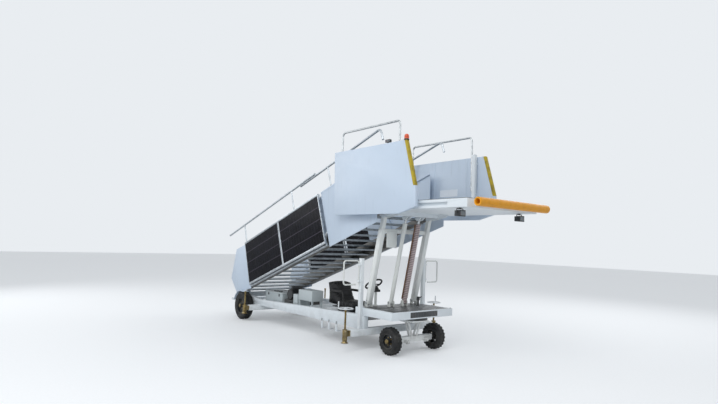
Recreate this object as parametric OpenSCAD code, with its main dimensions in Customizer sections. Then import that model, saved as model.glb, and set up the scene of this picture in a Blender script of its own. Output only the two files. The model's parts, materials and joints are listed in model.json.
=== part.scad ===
// Mobile aircraft stairs: a wheeled chassis with a turntable front axle, a telescoping
// flight in two sections, and a platform lifted by a pair of telescopic legs.
// +X is forward, towards the aircraft, +Y is left and +Z is up. The wheels stand at z = 0.
// Places along X are written from a datum 50 mm ahead of the front axle, and the whole is
// then centred on its length.

/* [Chassis] */
// Distance from the front axle back to the rear axle
wheelbase = 4400; // [4200:10:4600]
// Outer half width of the two side beams
beam_half_w = 700; // [660:5:705]
// Width of a side beam
beam_w = 100; // [70:5:120]
// Depth of a side beam under the deck
beam_front_h = 230; // [180:5:240]
// Depth of a side beam at its lowest point, ahead of the rear wheels
beam_rear_h = 120; // [90:5:150]
// Height of the underside of the side beams
beam_bottom_z = 343; // [330:1:360]
// Side of the cross beams' square section
cross_beam = 110; // [80:5:130]

/* [Wheels] */
// Diameter of a front tyre
front_tyre_d = 436; // [400:4:460]
// Width of a front tyre
front_tyre_w = 145; // [120:5:160]
// Half track of the front wheels
front_half_track = 500; // [480:5:520]
// Diameter of a rear tyre
rear_tyre_d = 590; // [560:5:600]
// Width of a rear tyre
rear_tyre_w = 186; // [150:2:190]
// Half track of the rear wheels
rear_half_track = 812; // [805:1:830]
// Radius of the stub that each wheel turns on
stub_r = 24; // [18:1:30]

/* [Deck and dolly] */
// Length of the front deck
deck_len = 890; // [850:10:950]
// Distance that the deck reaches ahead of the datum
deck_front = 187; // [150:1:240]
// Height of the top of the deck
deck_z = 695; // [685:1:710]
// Depth of the deck frame
deck_h = 122; // [100:1:140]
// Radius of the slewing ring
slew_r = 235; // [200:5:245]
// Height of the slewing ring
slew_h = 40; // [30:1:44]
// Side of the axle beam's square section
axle_beam = 90; // [70:5:110]
// Distance between the two drawbar lugs
lug_pitch = 420; // [300:10:480]
// Radius of the holes in the drawbar lugs
lug_hole_r = 14; // [10:1:18]

/* [Jacks and gates] */
// Distance of the jacks from the middle of the machine
jack_y = 1035; // [1010:5:1060]
// Radius of a jack's screw
jack_screw_r = 17; // [14:1:20]
// Radius of a jack's sleeve
jack_sleeve_r = 40; // [34:1:42]
// Height of a raised front jack's foot above the ground
jack_lift = 155; // [100:5:170]
// Height of a raised rear jack's foot above the ground
rear_jack_lift = 190; // [140:5:200]
// Radius of a front jack's handwheel
handwheel_r = 117; // [100:1:125]
// Height of the top of the gate posts
gate_post_z = 1500; // [1400:10:1600]
// Side of a gate post
gate_post = 60; // [50:5:80]
// Reach of a gate loop from its post
gate_reach = 340; // [300:5:360]
// Height of a gate loop
gate_loop_h = 385; // [300:5:450]

/* [Flight] */
// Height of the pivot at the foot of the flight
pivot_z = 650; // [640:1:660]
// Distance from the rear axle back to that pivot
pivot_overhang = 450; // [430:5:470]
// Height of the hinge between the flight and the platform
hinge_z = 2310; // [2300:1:2320]
// Distance from the datum back to that hinge
hinge_back = 100; // [95:1:110]
// Inner half width of the lower flight, between its stringers
lower_half_w = 665; // [660:1:680]
// Inner half width of the upper flight, between its stringers
upper_half_w = 590; // [560:1:592]
// Width of the flanges of a stringer
stringer_flange = 60; // [50:1:64]
// Thickness of the stringers' plate
stringer_t = 8; // [5:1:10]
// Length of the lower flight above its pivot
lower_len = 3660; // [3600:10:3700]
// Distance between two treads along the flight
tread_pitch = 310; // [290:5:330]
// Depth of a tread
tread_d = 255; // [220:5:260]
// Slope at which the treads are level
tread_slope = 20; // [19:0.5:21]
// Height of the folded lip of a tread
tread_lip = 28; // [20:1:28]

/* [Side guards] */
// Length of one solar panel
pv_len = 1440; // [1400:10:1450]
// Height of a solar panel
pv_h = 900; // [850:10:920]
// Thickness of a solar panel
pv_t = 35; // [25:1:40]
// Outer half width over the solar panels
pv_half_w = 840; // [836:1:850]
// Height of the handrails above the line of the pivots
handrail_v = 1250; // [1200:5:1300]
// Radius of the handrail tube
handrail_r = 20; // [16:1:22]

/* [Platform] */
// Distance that the platform reaches ahead of the datum
platform_front = 1690; // [1600:10:1750]
// Half width of the platform
platform_half_w = 820; // [800:5:830]
// Height of the platform floor
platform_z = 2400; // [2395:1:2410]
// Depth of the platform frame
platform_h = 125; // [110:1:130]
// Gap between the platform's side and its side panels
panel_gap = 90; // [80:1:100]
// Thickness of the platform's side panels
panel_t = 50; // [30:1:55]
// Radius of the rubber bumper
bumper_r = 60; // [50:1:70]
// Radius of the hole in the bumper
bumper_hole_r = 38; // [30:1:42]
// Height of the top rails
top_rail_z = 3630; // [3550:5:3700]
// Radius of the rail tube
rail_r = 17; // [14:1:19]

/* [Lift] */
// Half distance between the two legs
leg_y = 530; // [515:1:532]
// Side of the outer leg tube
leg_outer = 84; // [80:1:90]
// Side of the inner leg tube
leg_inner = 68; // [60:1:70]
// Height of the pivots of the legs and cylinders
leg_pivot_z = 762; // [755:1:780]
// Distance from the datum back to the pivots of the legs
leg_foot_back = 570; // [560:1:600]
// Distance from the datum back to the eyes of the legs
leg_eye_back = 237; // [230:1:250]
// Height of the eyes of the legs
leg_eye_z = 2210; // [2195:1:2214]
// Half distance between the two lift cylinders
cylinder_y = 155; // [145:5:165]
// Radius of a lift cylinder
cylinder_r = 34; // [30:1:38]
// Radius over the ribs of the ribbed cylinder
rib_r = 48; // [42:1:50]
// Radius of a lift cylinder's rod
rod_r = 22; // [18:1:24]

/* [Hidden] */
$fn = 40;
eps = 0.01;
// Gaps: between pieces that seat on each other, round a pin, and beside a moving piece
seat_gap = 0.3;
pin_gap = 0.3;
run_gap = 6;

// Colours
white = "#dfe7ee";
leg_white = "#e2e1da";
alu = "#a9adad";
deep_grey = "#6d6a64";
dark = "#2a2b2e";
rubber = "#1a1a1c";
zinc = "#a8843c";

// Places along the machine, from the datum
kingpin_x = -50;
rear_x = kingpin_x - wheelbase;
// Start of the bays between the side beams, a little ahead of the rear axle
bay_x = rear_x + 50;
pivot_back = pivot_overhang - rear_x;
step_back = pivot_back + 520;
deck_back_x = deck_front - deck_len;
deck_split_x = -254;
front_beam_x = -540;
rear_beam_x = bay_x + 420;
rear_cross_x = -pivot_back;
// Floor bars between the side beams, ahead of the rear axle
floor_bars = [3150, 2450, 2100, 1500, 1060, 600];
floor_bar = 80;

// Whole length, and the shift that centres it on the origin
bumper_z = 2340;
bumper_x = platform_front + 166;
axle_x = (step_back - bumper_x - bumper_r) / 2;

// Points of the flight
pivot = [-pivot_back, pivot_z];
hinge = [-hinge_back, hinge_z];
flight_dir = hinge - pivot;
flight_len = norm(flight_dir);
slope = atan2(flight_dir[1], flight_dir[0]);
pivot_pin_r = 20;

// Levels across the flight, measured square to its slope
lower_bottom_v = -155;
lower_top_v = 75;
upper_bottom_v = -30;
upper_top_v = 90;
tread_fold = tread_d * sin(tread_slope) + tread_lip * cos(tread_slope);
upper_nose_v = upper_bottom_v + 2 + tread_fold;
lower_nose_v = upper_bottom_v - 8;
lower_tread_count = 11;
upper_tread_count = 9;
upper_start_u = flight_len - 2839;
upper_tread_u = flight_len - 2699;

// Solar panels and the sheets beside the flight
pv_bottom_v = -90;
pv_top_v = pv_bottom_v + pv_h;
pv_first_u = 695;
pv_gap = 35;
pv_end_u = pv_first_u + 2 * pv_len + pv_gap;
pv_inner = pv_half_w - pv_t;
lower_rail_y = pv_half_w - 45;
sheet_t = 10;
sheet_inset = 36;
rail_inset = 49;
sheet_y = platform_half_w - sheet_inset;
upper_rail_y = sheet_y - rail_inset;
sheet_top_v = 820;
sheet_end_x = -470;
sheet_foot_x = -130;
sheet_start_u = pv_end_u + 62;
sheet_arms = [pv_end_u + 110, flight_len - 979, flight_len - 579];

// Chassis heights
slew_top_z = deck_z - deck_h;
slew_mid_z = slew_top_z - slew_h;
turn_ring_h = 16;
turn_plate_h = 20;
front_beam_z = 250;
rear_beam_z = 250;
cross_top_z = front_beam_z + cross_beam;
floor_z = beam_bottom_z + 98;
beam_inner = beam_half_w - beam_w;
plate_lip = 8;

// Gate posts, jacks and driver's place
gate_y = beam_half_w + gate_post / 2;
gate_hinge_y = beam_half_w + gate_post + 30;
gate_tube_r = 12.5;
gate_bend = 45;
foot_h = 34;
seat_x = deck_back_x - 777;
seat_y = -300;
seat_plate_z = 605;
column_x = deck_back_x + 53;
column_y = -310;
console_z = 930;
wheel_hub = [column_x - 55, 1050];
wheel_lean = 35;

// Wheels
front_rim_r = 118;
rear_rim_r = 165;

// Platform
platform_rear = -40;
platform_under_z = platform_z - platform_h;
floor_sheet = 6;
frame_t = 8;
under_sheet = 5;
panel_half_w = platform_half_w + panel_gap + panel_t;
panel_inner = panel_half_w - panel_t;
panel_sheet = 4;
// Front edge of a side panel: straight up to the knee, then leaning back under the strip
strip_w = 46;
panel_foot = [880, 2298];
panel_knee = [822, 2600];
panel_top = [622, 3285];

// Lift
leg_foot = [-leg_foot_back, leg_pivot_z];
leg_eye = [-leg_eye_back, leg_eye_z];
leg_outer_len = 1270;
cyl_foot = [-430, leg_pivot_z];
cyl_eye = [-115, 2200];
rod_shown = 132;
barrel_len = norm(cyl_eye - cyl_foot) - rod_shown;
barrel_eye = 70;
rod_eye = 60;
cheek = 12;

// Shapes and helpers
module placed() { translate([axle_x, 0, 0]) children(); }
module both_sides() { children(); mirror([0, 1, 0]) children(); }
module in_flight() {
    translate([pivot[0], 0, pivot[1]]) rotate([0, -slope, 0]) children();
}
// Block between two corners
module block(a, b) { translate(a) cube(b - a); }
// Plate whose outline lies in the XZ plane, from y0 to y1
module side_plate(points, y0, y1) {
    translate([0, y1, 0]) rotate([90, 0, 0]) linear_extrude(y1 - y0) polygon(points);
}
// Cylinder along Y from y0 to y1 about the point p of the XZ plane
module cross_pin(p, r, y0, y1) {
    translate([p[0], y1, p[1]]) rotate([90, 0, 0]) cylinder(r = r, h = y1 - y0);
}
// Children stand with +Z running from a to b, both in the XZ plane
module along(a, b) {
    translate([a[0], 0, a[1]])
        rotate([0, 90 - atan2(b[1] - a[1], b[0] - a[0]), 0]) children();
}
// Distance along the flight of the point at x, at level v
function flight_u(x, v) = (x + pivot_back + v * sin(slope)) / cos(slope);
function unit(v) = v / norm(v);
function left_normal(v) = [-v[1], v[0]] / norm(v);
// Outline of a convex or bent shape, moved inwards by d; points run counter-clockwise
function inset(points, d) = [
    for (i = [0 : len(points) - 1])
        let (a = points[(i + len(points) - 1) % len(points)], b = points[i],
             c = points[(i + 1) % len(points)],
             n1 = left_normal(b - a), n2 = left_normal(c - b))
        b + d * (n1 + n2) / (1 + n1 * n2)];
// Channel section with its web at y_web and its flanges reaching to y_open
module channel(points, y_web, y_open, t) {
    difference() {
        side_plate(points, y_web, y_open);
        side_plate(inset(points, t), y_web + t, y_open + t);
    }
}
// Round tube through points of the XY plane, with bends of radius bend
module tube_path(points, r, bend) {
    last = len(points) - 1;
    trim = [for (i = [0 : last])
        i == 0 || i == last ? 0 : let (
            u1 = unit(points[i - 1] - points[i]), u2 = unit(points[i + 1] - points[i]))
            bend / tan(acos(u1 * u2) / 2)];
    for (i = [0 : last - 1]) {
        d = unit(points[i + 1] - points[i]);
        a = points[i] + d * trim[i];
        b = points[i + 1] - d * trim[i + 1];
        translate([a[0], a[1], 0]) rotate([0, 0, atan2(d[1], d[0])])
            rotate([0, 90, 0]) cylinder(r = r, h = norm(b - a));
    }
    for (i = [1 : 1 : last - 1]) {
        u1 = unit(points[i - 1] - points[i]);
        u2 = unit(points[i + 1] - points[i]);
        half = acos(u1 * u2) / 2;
        centre = points[i] + unit(u1 + u2) * bend / sin(half);
        s1 = points[i] + u1 * trim[i] - centre;
        s2 = points[i] + u2 * trim[i] - centre;
        turn = s1[0] * s2[1] - s1[1] * s2[0];
        from = turn > 0 ? s1 : s2;
        translate([centre[0], centre[1], 0]) rotate([0, 0, atan2(from[1], from[0])])
            rotate_extrude(angle = 180 - 2 * half) translate([bend, 0]) circle(r = r);
    }
}
// The same tube with its path in the XZ plane, at y
module rail_path(points, y, r, bend) {
    translate([0, y, 0]) rotate([90, 0, 0]) tube_path(points, r, bend);
}

// Chassis
module side_beams() {
    kick = 85;
    profile = [
        [front_beam_x + cross_beam / 2, beam_bottom_z],
        [front_beam_x + cross_beam / 2, beam_bottom_z + beam_front_h],
        [deck_back_x, beam_bottom_z + beam_front_h],
        [bay_x + 350, beam_bottom_z + beam_rear_h],
        [bay_x - 300, beam_bottom_z + beam_rear_h + kick],
        [bay_x - 560, beam_bottom_z + beam_rear_h + kick],
        [bay_x - 560, beam_bottom_z + kick],
        [bay_x - 160, beam_bottom_z]];
    color(white) placed() both_sides()
        difference() {
            side_plate(profile, beam_inner, beam_half_w);
            // The cross beams pass under and through the side beams
            block([front_beam_x - cross_beam / 2, beam_inner - eps, beam_bottom_z - eps],
                  [front_beam_x + cross_beam, beam_half_w + eps, cross_top_z]);
            block([rear_beam_x - cross_beam / 2, beam_inner - eps, beam_bottom_z - eps],
                  [rear_beam_x + cross_beam / 2, beam_half_w + eps, rear_beam_z + cross_beam]);
        }
}
module cross_beams() {
    color(white) placed() {
        for (b = [[front_beam_x, front_beam_z], [rear_beam_x, rear_beam_z]])
            block([b[0] - cross_beam / 2, -(jack_y - 90), b[1]],
                  [b[0] + cross_beam / 2, jack_y - 90, b[1] + cross_beam]);
        for (d = floor_bars)
            block([bay_x + d - floor_bar / 2, -beam_inner, floor_z - floor_bar],
                  [bay_x + d + floor_bar / 2, beam_inner, floor_z]);
    }
}
module rear_axle() {
    half = rear_half_track - rear_tyre_w / 2 - 14;
    // Section of the beam that carries the foot of the flight
    low = beam_bottom_z + 85;
    top = low + 110;
    back = rear_cross_x - 55;
    front = rear_cross_x + 40;
    ear_in = 748;
    ear_out = 765;
    color(white) placed() {
        translate([rear_x, 0, rear_tyre_d / 2]) {
            translate([-axle_beam / 2, -half, -axle_beam / 2])
                cube([axle_beam, 2 * half, axle_beam]);
            both_sides() rotate([-90, 0, 0]) {
                cylinder(r = stub_r, h = rear_half_track + 50);
                cylinder(r = stub_r + 20, h = half + 10);
            }
        }
        // Pads that hold the axle to the side beams
        both_sides() block([rear_x - axle_beam / 2, beam_inner, rear_tyre_d / 2 + axle_beam / 2],
                           [rear_x + axle_beam / 2, beam_half_w, beam_bottom_z]);
        block([back, -beam_inner, low], [front, beam_inner, top]);
        both_sides() {
            block([back, beam_half_w, low], [front, ear_out, top]);
            cross_pin(pivot, 46, ear_in, ear_out);
            side_plate([[back, top], [front, top], [pivot[0] + 40, pivot[1]],
                        [pivot[0] - 45, pivot[1]]], ear_in, ear_out);
            cross_pin(pivot, pivot_pin_r, lower_half_w + stringer_t + 2, ear_out);
            cross_pin(pivot, 34, ear_out, ear_out + 10);
        }
    }
}
module rear_entry_step() {
    top = 362;
    color(white) placed() {
        difference() {
            block([-step_back, -640, top - 50], [-step_back + 230, 640, top]);
            block([-step_back + 5, -635, top - 51], [-step_back + 225, 635, top - 5]);
        }
        both_sides() side_plate([
            [-step_back + 225, top - 45], [rear_cross_x - 55, 430], [rear_cross_x - 55, 530],
            [-step_back + 225, top - 5]], 560, 580);
    }
}
module mudguards() {
    r = rear_tyre_d / 2 + 22;
    guard_y = 915;
    stay = 8;
    color(white) placed() both_sides() translate([rear_x, 0, rear_tyre_d / 2]) {
        rotate([90, 0, 0]) rotate([0, 0, 72]) translate([0, 0, -guard_y])
            rotate_extrude(angle = 90) translate([r, 0]) square([5, guard_y - beam_half_w - 3]);
        // Stay up the side of the beam
        block([-30, beam_half_w, 105], [30, beam_half_w + stay, r + 2]);
    }
}
module side_steps() {
    // Ladder of hanging brackets for climbing to the seat
    color(white) placed()
        for (x = [-1630, -1415, -1200]) {
            block([x - 22, -beam_half_w - 12, beam_bottom_z - 130],
                  [x + 22, -beam_half_w, beam_bottom_z + 40]);
            block([x - 22, -beam_half_w, beam_bottom_z - 130],
                  [x + 22, -beam_half_w + 90, beam_bottom_z - 118]);
        }
}
module deck_frame() {
    color(white) placed() difference() {
        block([deck_back_x, -beam_half_w, deck_z - deck_h], [deck_front, beam_half_w, deck_z]);
        block([deck_back_x + 60, -beam_half_w + 60, deck_z - plate_lip],
              [deck_front - 30, beam_half_w - 60, deck_z + 1]);
        // Recess in the front face
        block([deck_front - 12, -300, deck_z - deck_h + 18], [deck_front + 1, 330, deck_z - 16]);
    }
}
module deck_plates() {
    color(dark) placed() {
        for (x = [[deck_back_x + 60, deck_split_x - 3], [deck_split_x + 3, deck_front - 30]])
            block([x[0], -beam_half_w + 60, deck_z - plate_lip], [x[1], beam_half_w - 60, deck_z]);
        block([deck_front - 12, -300, deck_z - deck_h + 18], [deck_front - 4, 330, deck_z - 16]);
        block([bay_x + 2410, -beam_inner, floor_z],
              [deck_back_x - 40, beam_inner, floor_z + plate_lip]);
    }
}
module slewing_ring() {
    color(dark) placed() translate([kingpin_x, 0, slew_mid_z])
        difference() {
            cylinder(r = slew_r, h = slew_h);
            translate([0, 0, -1]) cylinder(r = slew_r - 60, h = slew_h + 2);
        }
}
// Cheek round the point p that stands on the level base_z
module ear(p, y0, y1, r, base_z) {
    cross_pin(p, r, y0, y1);
    block([p[0] - r, y0, base_z], [p[0] + r, y1, p[1]]);
}
module lift_clevises() {
    leg_side = leg_outer / 2 + run_gap;
    cyl_side = barrel_eye / 2 + run_gap;
    color(leg_white) placed() both_sides() {
        for (s = [-1, 1]) {
            leg_mid = leg_y + s * (leg_side + cheek / 2);
            ear(leg_foot, leg_mid - cheek / 2, leg_mid + cheek / 2, 34, deck_z);
            cyl_mid = cylinder_y + s * (cyl_side + cheek / 2);
            ear(cyl_foot, cyl_mid - cheek / 2, cyl_mid + cheek / 2, 34, deck_z);
        }
        cross_pin(leg_foot, 20, leg_y - leg_side, leg_y + leg_side);
        cross_pin(cyl_foot, 18, cylinder_y - cyl_side, cylinder_y + cyl_side);
    }
}
module gate_posts() {
    top = gate_post_z - 40;
    knuckle_h = 30;
    color(leg_white) placed() both_sides() {
        block([front_beam_x - gate_post / 2, gate_y - gate_post / 2, cross_top_z],
              [front_beam_x + gate_post / 2, gate_y + gate_post / 2, gate_post_z]);
        // Hinge knuckles round the upright of the gate loop
        for (z = [top - gate_bend - knuckle_h - 6, top - gate_loop_h + 40])
            difference() {
                union() {
                    translate([front_beam_x, gate_hinge_y, z]) cylinder(r = 22, h = knuckle_h);
                    block([front_beam_x - 18, gate_y + gate_post / 2, z],
                          [front_beam_x + 18, gate_hinge_y, z + knuckle_h]);
                }
                translate([front_beam_x, gate_hinge_y, z - 1])
                    cylinder(r = gate_tube_r + pin_gap, h = knuckle_h + 2);
            }
    }
}
module gate_loop(side) {
    top = gate_post_z - 40;
    low = top - gate_loop_h;
    y1 = beam_half_w + gate_post + gate_reach;
    color(leg_white) placed() translate([front_beam_x, 0, 0]) scale([1, side, 1])
        rotate([90, 0, 90])
            tube_path([[gate_hinge_y, low], [gate_hinge_y, top], [y1, top], [y1, low],
                       [gate_hinge_y + 60, low]], gate_tube_r, gate_bend);
}
module jack_sleeves() {
    color(zinc) placed() both_sides()
        for (b = [[front_beam_x, front_beam_z, jack_lift + foot_h],
                  [rear_beam_x, rear_beam_z, rear_jack_lift + foot_h]])
            difference() {
                union() {
                    translate([b[0], jack_y, b[2] + run_gap])
                        cylinder(r = jack_sleeve_r, h = b[1] + cross_beam + 10 - b[2] - run_gap);
                    block([b[0] - 30, jack_y - 90, b[1] + 10],
                          [b[0] + 30, jack_y, b[1] + cross_beam - 10]);
                }
                translate([b[0], jack_y, 0])
                    cylinder(r = jack_screw_r + pin_gap, h = 1000);
            }
}
module jack(x, side, hand) {
    lift = hand ? jack_lift : rear_jack_lift;
    top = hand ? 720 : 650;
    ring_z = top - 20;
    grip = side * 120;
    color(zinc) placed() translate([x, side * jack_y, 0]) {
        translate([0, 0, lift]) cylinder(r = 60, h = 8);
        translate([0, 0, lift + 8])
            cylinder(r1 = 48, r2 = jack_sleeve_r - 4, h = foot_h - 8);
        translate([0, 0, lift + foot_h - 4])
            cylinder(r = jack_screw_r, h = top - lift - foot_h + 4);
        if (hand) {
            translate([0, 0, ring_z]) rotate_extrude()
                translate([handwheel_r, 0]) circle(r = 9);
            for (a = [0, 120, 240]) rotate([0, 0, a])
                translate([0, 0, ring_z]) rotate([0, 90, 0]) cylinder(r = 7, h = handwheel_r);
            // Upright grip on the ring
            translate([handwheel_r * cos(grip), handwheel_r * sin(grip), ring_z])
                cylinder(r = 8, h = 115);
            translate([0, 0, top - 36]) cylinder(r = 26, h = 32);
        } else {
            translate([0, 0, top - 30]) cylinder(r = 24, h = 30, $fn = 6);
        }
    }
}
module battery_box() {
    color("#b9c6cf") placed() translate([bay_x, 0, 0]) {
        block([475, -580, floor_z], [1170, -150, 640]);
        block([465, -590, 640], [1180, -140, 662]);
        for (i = [0 : 3]) translate([680 + i * 90, -470, 662]) cylinder(r = 22, h = 18);
    }
}
module power_pack() {
    color("#26282b") placed() translate([bay_x, 0, 0]) {
        block([1220, -560, floor_z], [1540, 100, 560]);
        translate([1370, -540, 660]) rotate([-90, 0, 0]) cylinder(r = 115, h = 380);
        translate([1370, -160, 660]) rotate([-90, 0, 0]) cylinder(r = 70, h = 160);
        block([1340, -480, 760], [1400, -240, 830]);
    }
}
module equipment_boxes() {
    shelf = 8;
    color("#c9cfce") placed() translate([bay_x, 0, 0]) {
        block([1550, -560, floor_z + shelf], [1700, -260, 690]);
        block([1740, -560, 600], [2210, -300, 800]);
        for (x = [1750, 2170]) for (y = [-550, -340])
            block([x, y, floor_z], [x + 30, y + 30, 600]);
        block([1545, -520, floor_z], [2250, -300, floor_z + shelf]);
    }
}
module seat_base() {
    color(dark) placed() {
        block([seat_x + 20, seat_y - 190, floor_z + plate_lip],
              [seat_x + 420, seat_y + 190, seat_plate_z - 15]);
        block([seat_x - 120, seat_y - 210, seat_plate_z - 15],
              [seat_x + 470, seat_y + 210, seat_plate_z]);
    }
}
module driver_seat() {
    low = seat_plate_z + seat_gap;
    color(rubber) placed() {
        block([seat_x - 60, seat_y - 230, low], [seat_x + 480, seat_y + 230, 710]);
        side_plate([[seat_x + 40, low], [seat_x + 40, 720], [seat_x - 160, 1035],
                    [seat_x - 330, 1000], [seat_x - 170, low]], seat_y - 225, seat_y + 225);
    }
}
module steering_column() {
    color(leg_white) placed() translate([column_x, column_y, deck_z]) {
        cylinder(r = 48, h = 12);
        cylinder(r = 22, h = console_z - deck_z);
    }
}
// Children stand on the axis of the steering wheel, with the hub at the origin
module at_wheel_hub() {
    placed() translate([wheel_hub[0], column_y, wheel_hub[1]]) rotate([0, -wheel_lean, 0])
        children();
}
module steering_console() {
    color(dark) {
        placed() block([column_x - 55, column_y - 55, console_z],
                       [column_x + 55, column_y + 55, console_z + 40]);
        at_wheel_hub() {
            translate([0, 0, -114]) cylinder(r = 50, h = 64);
            translate([0, 0, -60]) cylinder(r = 22, h = 40 - seat_gap);
        }
    }
}
module steering_wheel() {
    color(rubber) at_wheel_hub() {
        translate([0, 0, 6]) rotate_extrude() translate([150, 0]) circle(r = 12);
        for (a = [60, 180, 300]) rotate([0, 0, a])
            rotate([0, 90, 0]) cylinder(r = 8, h = 150);
        translate([0, 0, -20]) cylinder(r = 38, h = 34);
    }
}
module valve_stand() {
    color(dark) placed() translate([-305, 372, deck_z]) {
        cylinder(r = 34, h = 10);
        cylinder(r = 16, h = 110);
        translate([0, 0, 100]) cylinder(r = 28, h = 60);
        translate([0, 0, 125]) rotate([0, 60, 0]) cylinder(r = 8, h = 90);
    }
}

// Dolly under the slewing ring, and the wheels
module dolly_frame() {
    z = front_tyre_d / 2;
    half = front_half_track - front_tyre_w / 2 - 14;
    ring_z = slew_mid_z - seat_gap - turn_ring_h;
    brace_foot = z + axle_beam / 2 - 10;
    brace_head = ring_z - turn_plate_h + 4;
    color(white) placed() translate([kingpin_x, 0, 0]) {
        // Turning ring on its plate
        translate([0, 0, ring_z]) difference() {
            cylinder(r = slew_r, h = turn_ring_h);
            translate([0, 0, 6]) cylinder(r = slew_r - 60, h = turn_ring_h);
        }
        block([-170, -190, ring_z - turn_plate_h], [170, 190, ring_z + 2]);
        // Axle beam with the wheel stubs
        block([-axle_beam / 2, -half, z - axle_beam / 2], [axle_beam / 2, half, z + axle_beam / 2]);
        both_sides() translate([0, 0, z]) rotate([-90, 0, 0]) {
            cylinder(r = stub_r, h = front_half_track + 40);
            cylinder(r = stub_r + 16, h = half + 10);
        }
        // Braces from the beam up to the plate
        for (s = [-1, 1]) for (x = [-1, 1])
            rotate([0, 0, 90]) translate([0, x * 34, 0])
                along([s * 50, brace_foot], [s * 140, brace_head])
                    translate([-18, -7, 0]) cube([36, 14, norm([90, brace_head - brace_foot])]);
        // Lugs for a drawbar
        both_sides() translate([0, lug_pitch / 2, 0]) for (s = [-1, 1])
            difference() {
                union() {
                    cross_pin([100, z - 25], 30, s * 22 - 7, s * 22 + 7);
                    block([axle_beam / 2 - eps, s * 22 - 7, z - 45], [100, s * 22 + 7, z + 5]);
                }
                cross_pin([100, z - 25], lug_hole_r, s * 22 - 8, s * 22 + 8);
            }
    }
}
// Tyre profile turned about Y, at the wheel's centre
module tyre(d, w, rim) {
    h = w / 2;
    r = d / 2;
    color(rubber) rotate([-90, 0, 0]) rotate_extrude($fn = 64) difference() {
        polygon([
            [rim, -h + 14], [rim + 22, -h + 6], [r - 60, -h], [r - 26, -h + 4], [r - 6, -h + 20],
            [r, -h + 38], [r, h - 38], [r - 6, h - 20], [r - 26, h - 4], [r - 60, h],
            [rim + 22, h - 6], [rim, h - 14]]);
        for (y = [-h / 3, h / 3]) translate([r - 8, y - 4]) square([20, 8]);
    }
}
module rim(w, rim_r, side) {
    h = w / 2 - 14;
    dish = side * h * 0.35;
    color("#303236") rotate([-90, 0, 0]) difference() {
        union() {
            rotate_extrude() polygon([
                [rim_r - 8, -h], [rim_r - seat_gap, -h], [rim_r - seat_gap, h], [rim_r - 8, h]]);
            translate([0, 0, dish - 5]) cylinder(r = rim_r - 4, h = 10);
            translate([0, 0, side > 0 ? -h : -h - 10]) cylinder(r = 44, h = 2 * h + 10);
            translate([0, 0, side > 0 ? h : -h - 26]) cylinder(r = 34, h = 26);
        }
        translate([0, 0, side > 0 ? -500 : -(w / 2 + 2)])
            cylinder(r = stub_r + pin_gap, h = 502 + w / 2);
        for (a = [0 : 72 : 359]) rotate([0, 0, a])
            translate([rim_r * 0.66, 0, -200]) cylinder(r = rim_r * 0.12, h = 400);
    }
}
module front_tyre() { tyre(front_tyre_d, front_tyre_w, front_rim_r); }
module rear_tyre() { tyre(rear_tyre_d, rear_tyre_w, rear_rim_r); }
module front_rim(side) { rim(front_tyre_w, front_rim_r, side); }
module rear_rim(side) { rim(rear_tyre_w, rear_rim_r, side); }
module front_wheel_place(side) {
    placed() translate([kingpin_x, side * front_half_track, front_tyre_d / 2]) children();
}
module rear_wheel_place(side) {
    placed() translate([rear_x, side * rear_half_track, rear_tyre_d / 2]) children();
}

// Lower flight
module lower_profile_side() {
    channel([[-100, -55], [150, -85], [420, lower_bottom_v], [lower_len, lower_bottom_v],
             [lower_len, lower_top_v], [-100, lower_top_v]],
            lower_half_w, lower_half_w + stringer_flange + 10, stringer_t);
}
module lower_stringers() {
    color(deep_grey) placed() in_flight() both_sides() {
        difference() {
            union() {
                lower_profile_side();
                cross_pin([0, 0], 42, lower_half_w, lower_half_w + stringer_flange + 10);
            }
            cross_pin([0, 0], pivot_pin_r + pin_gap, lower_half_w + stringer_t - 6, 800);
        }
        // Pads that guide the upper flight
        block([lower_len - 360, upper_half_w + stringer_flange + seat_gap, upper_bottom_v],
              [lower_len - 60, lower_half_w, lower_top_v]);
    }
}
module tread(y, nose) {
    translate([nose[0], 0, nose[1]]) rotate([0, tread_slope, 0])
        side_plate([
            [0, -tread_lip - 10], [4, -tread_lip - 10], [4, -5], [tread_d - 4, -5],
            [tread_d - 4, -tread_lip], [tread_d, -tread_lip], [tread_d, 0], [0, 0]], -y, y);
}
module lower_treads() {
    color(alu) placed() in_flight()
        for (i = [0 : lower_tread_count - 1])
            tread(lower_half_w, [30 + i * tread_pitch, lower_nose_v]);
}
module pv_panels() {
    color("#14151c") placed() in_flight() both_sides()
        for (i = [0, 1])
            block([pv_first_u + i * (pv_len + pv_gap), pv_inner, pv_bottom_v],
                  [pv_first_u + i * (pv_len + pv_gap) + pv_len, pv_half_w, pv_top_v]);
}
module pv_side_frames() {
    in = pv_inner;
    color(alu) placed() in_flight() both_sides() {
        // Rail under the panels and a second one lower down
        block([pv_first_u, in, pv_bottom_v - 32], [pv_end_u + 10, pv_half_w, pv_bottom_v]);
        block([pv_first_u, in - 40, pv_bottom_v - 72], [pv_end_u + 10, in, pv_bottom_v - 40]);
        // Rail on top of the panels
        block([pv_first_u, in - 30, pv_top_v], [pv_end_u + 10, pv_half_w, pv_top_v + 22]);
        for (u = [pv_first_u, pv_first_u + pv_len, pv_end_u - 20]) {
            block([u, in - 30, pv_bottom_v - 40], [u + 30, in, pv_top_v]);
            block([u, lower_half_w + stringer_t, pv_bottom_v - 52], [u + 30, in - 30, pv_bottom_v - 10]);
        }
        // Strip between the two panels and at their upper end
        for (u = [pv_first_u + pv_len, pv_end_u])
            block([u, in, pv_bottom_v], [u + (u < pv_end_u ? pv_gap : 10), pv_half_w, pv_top_v]);
    }
}
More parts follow.
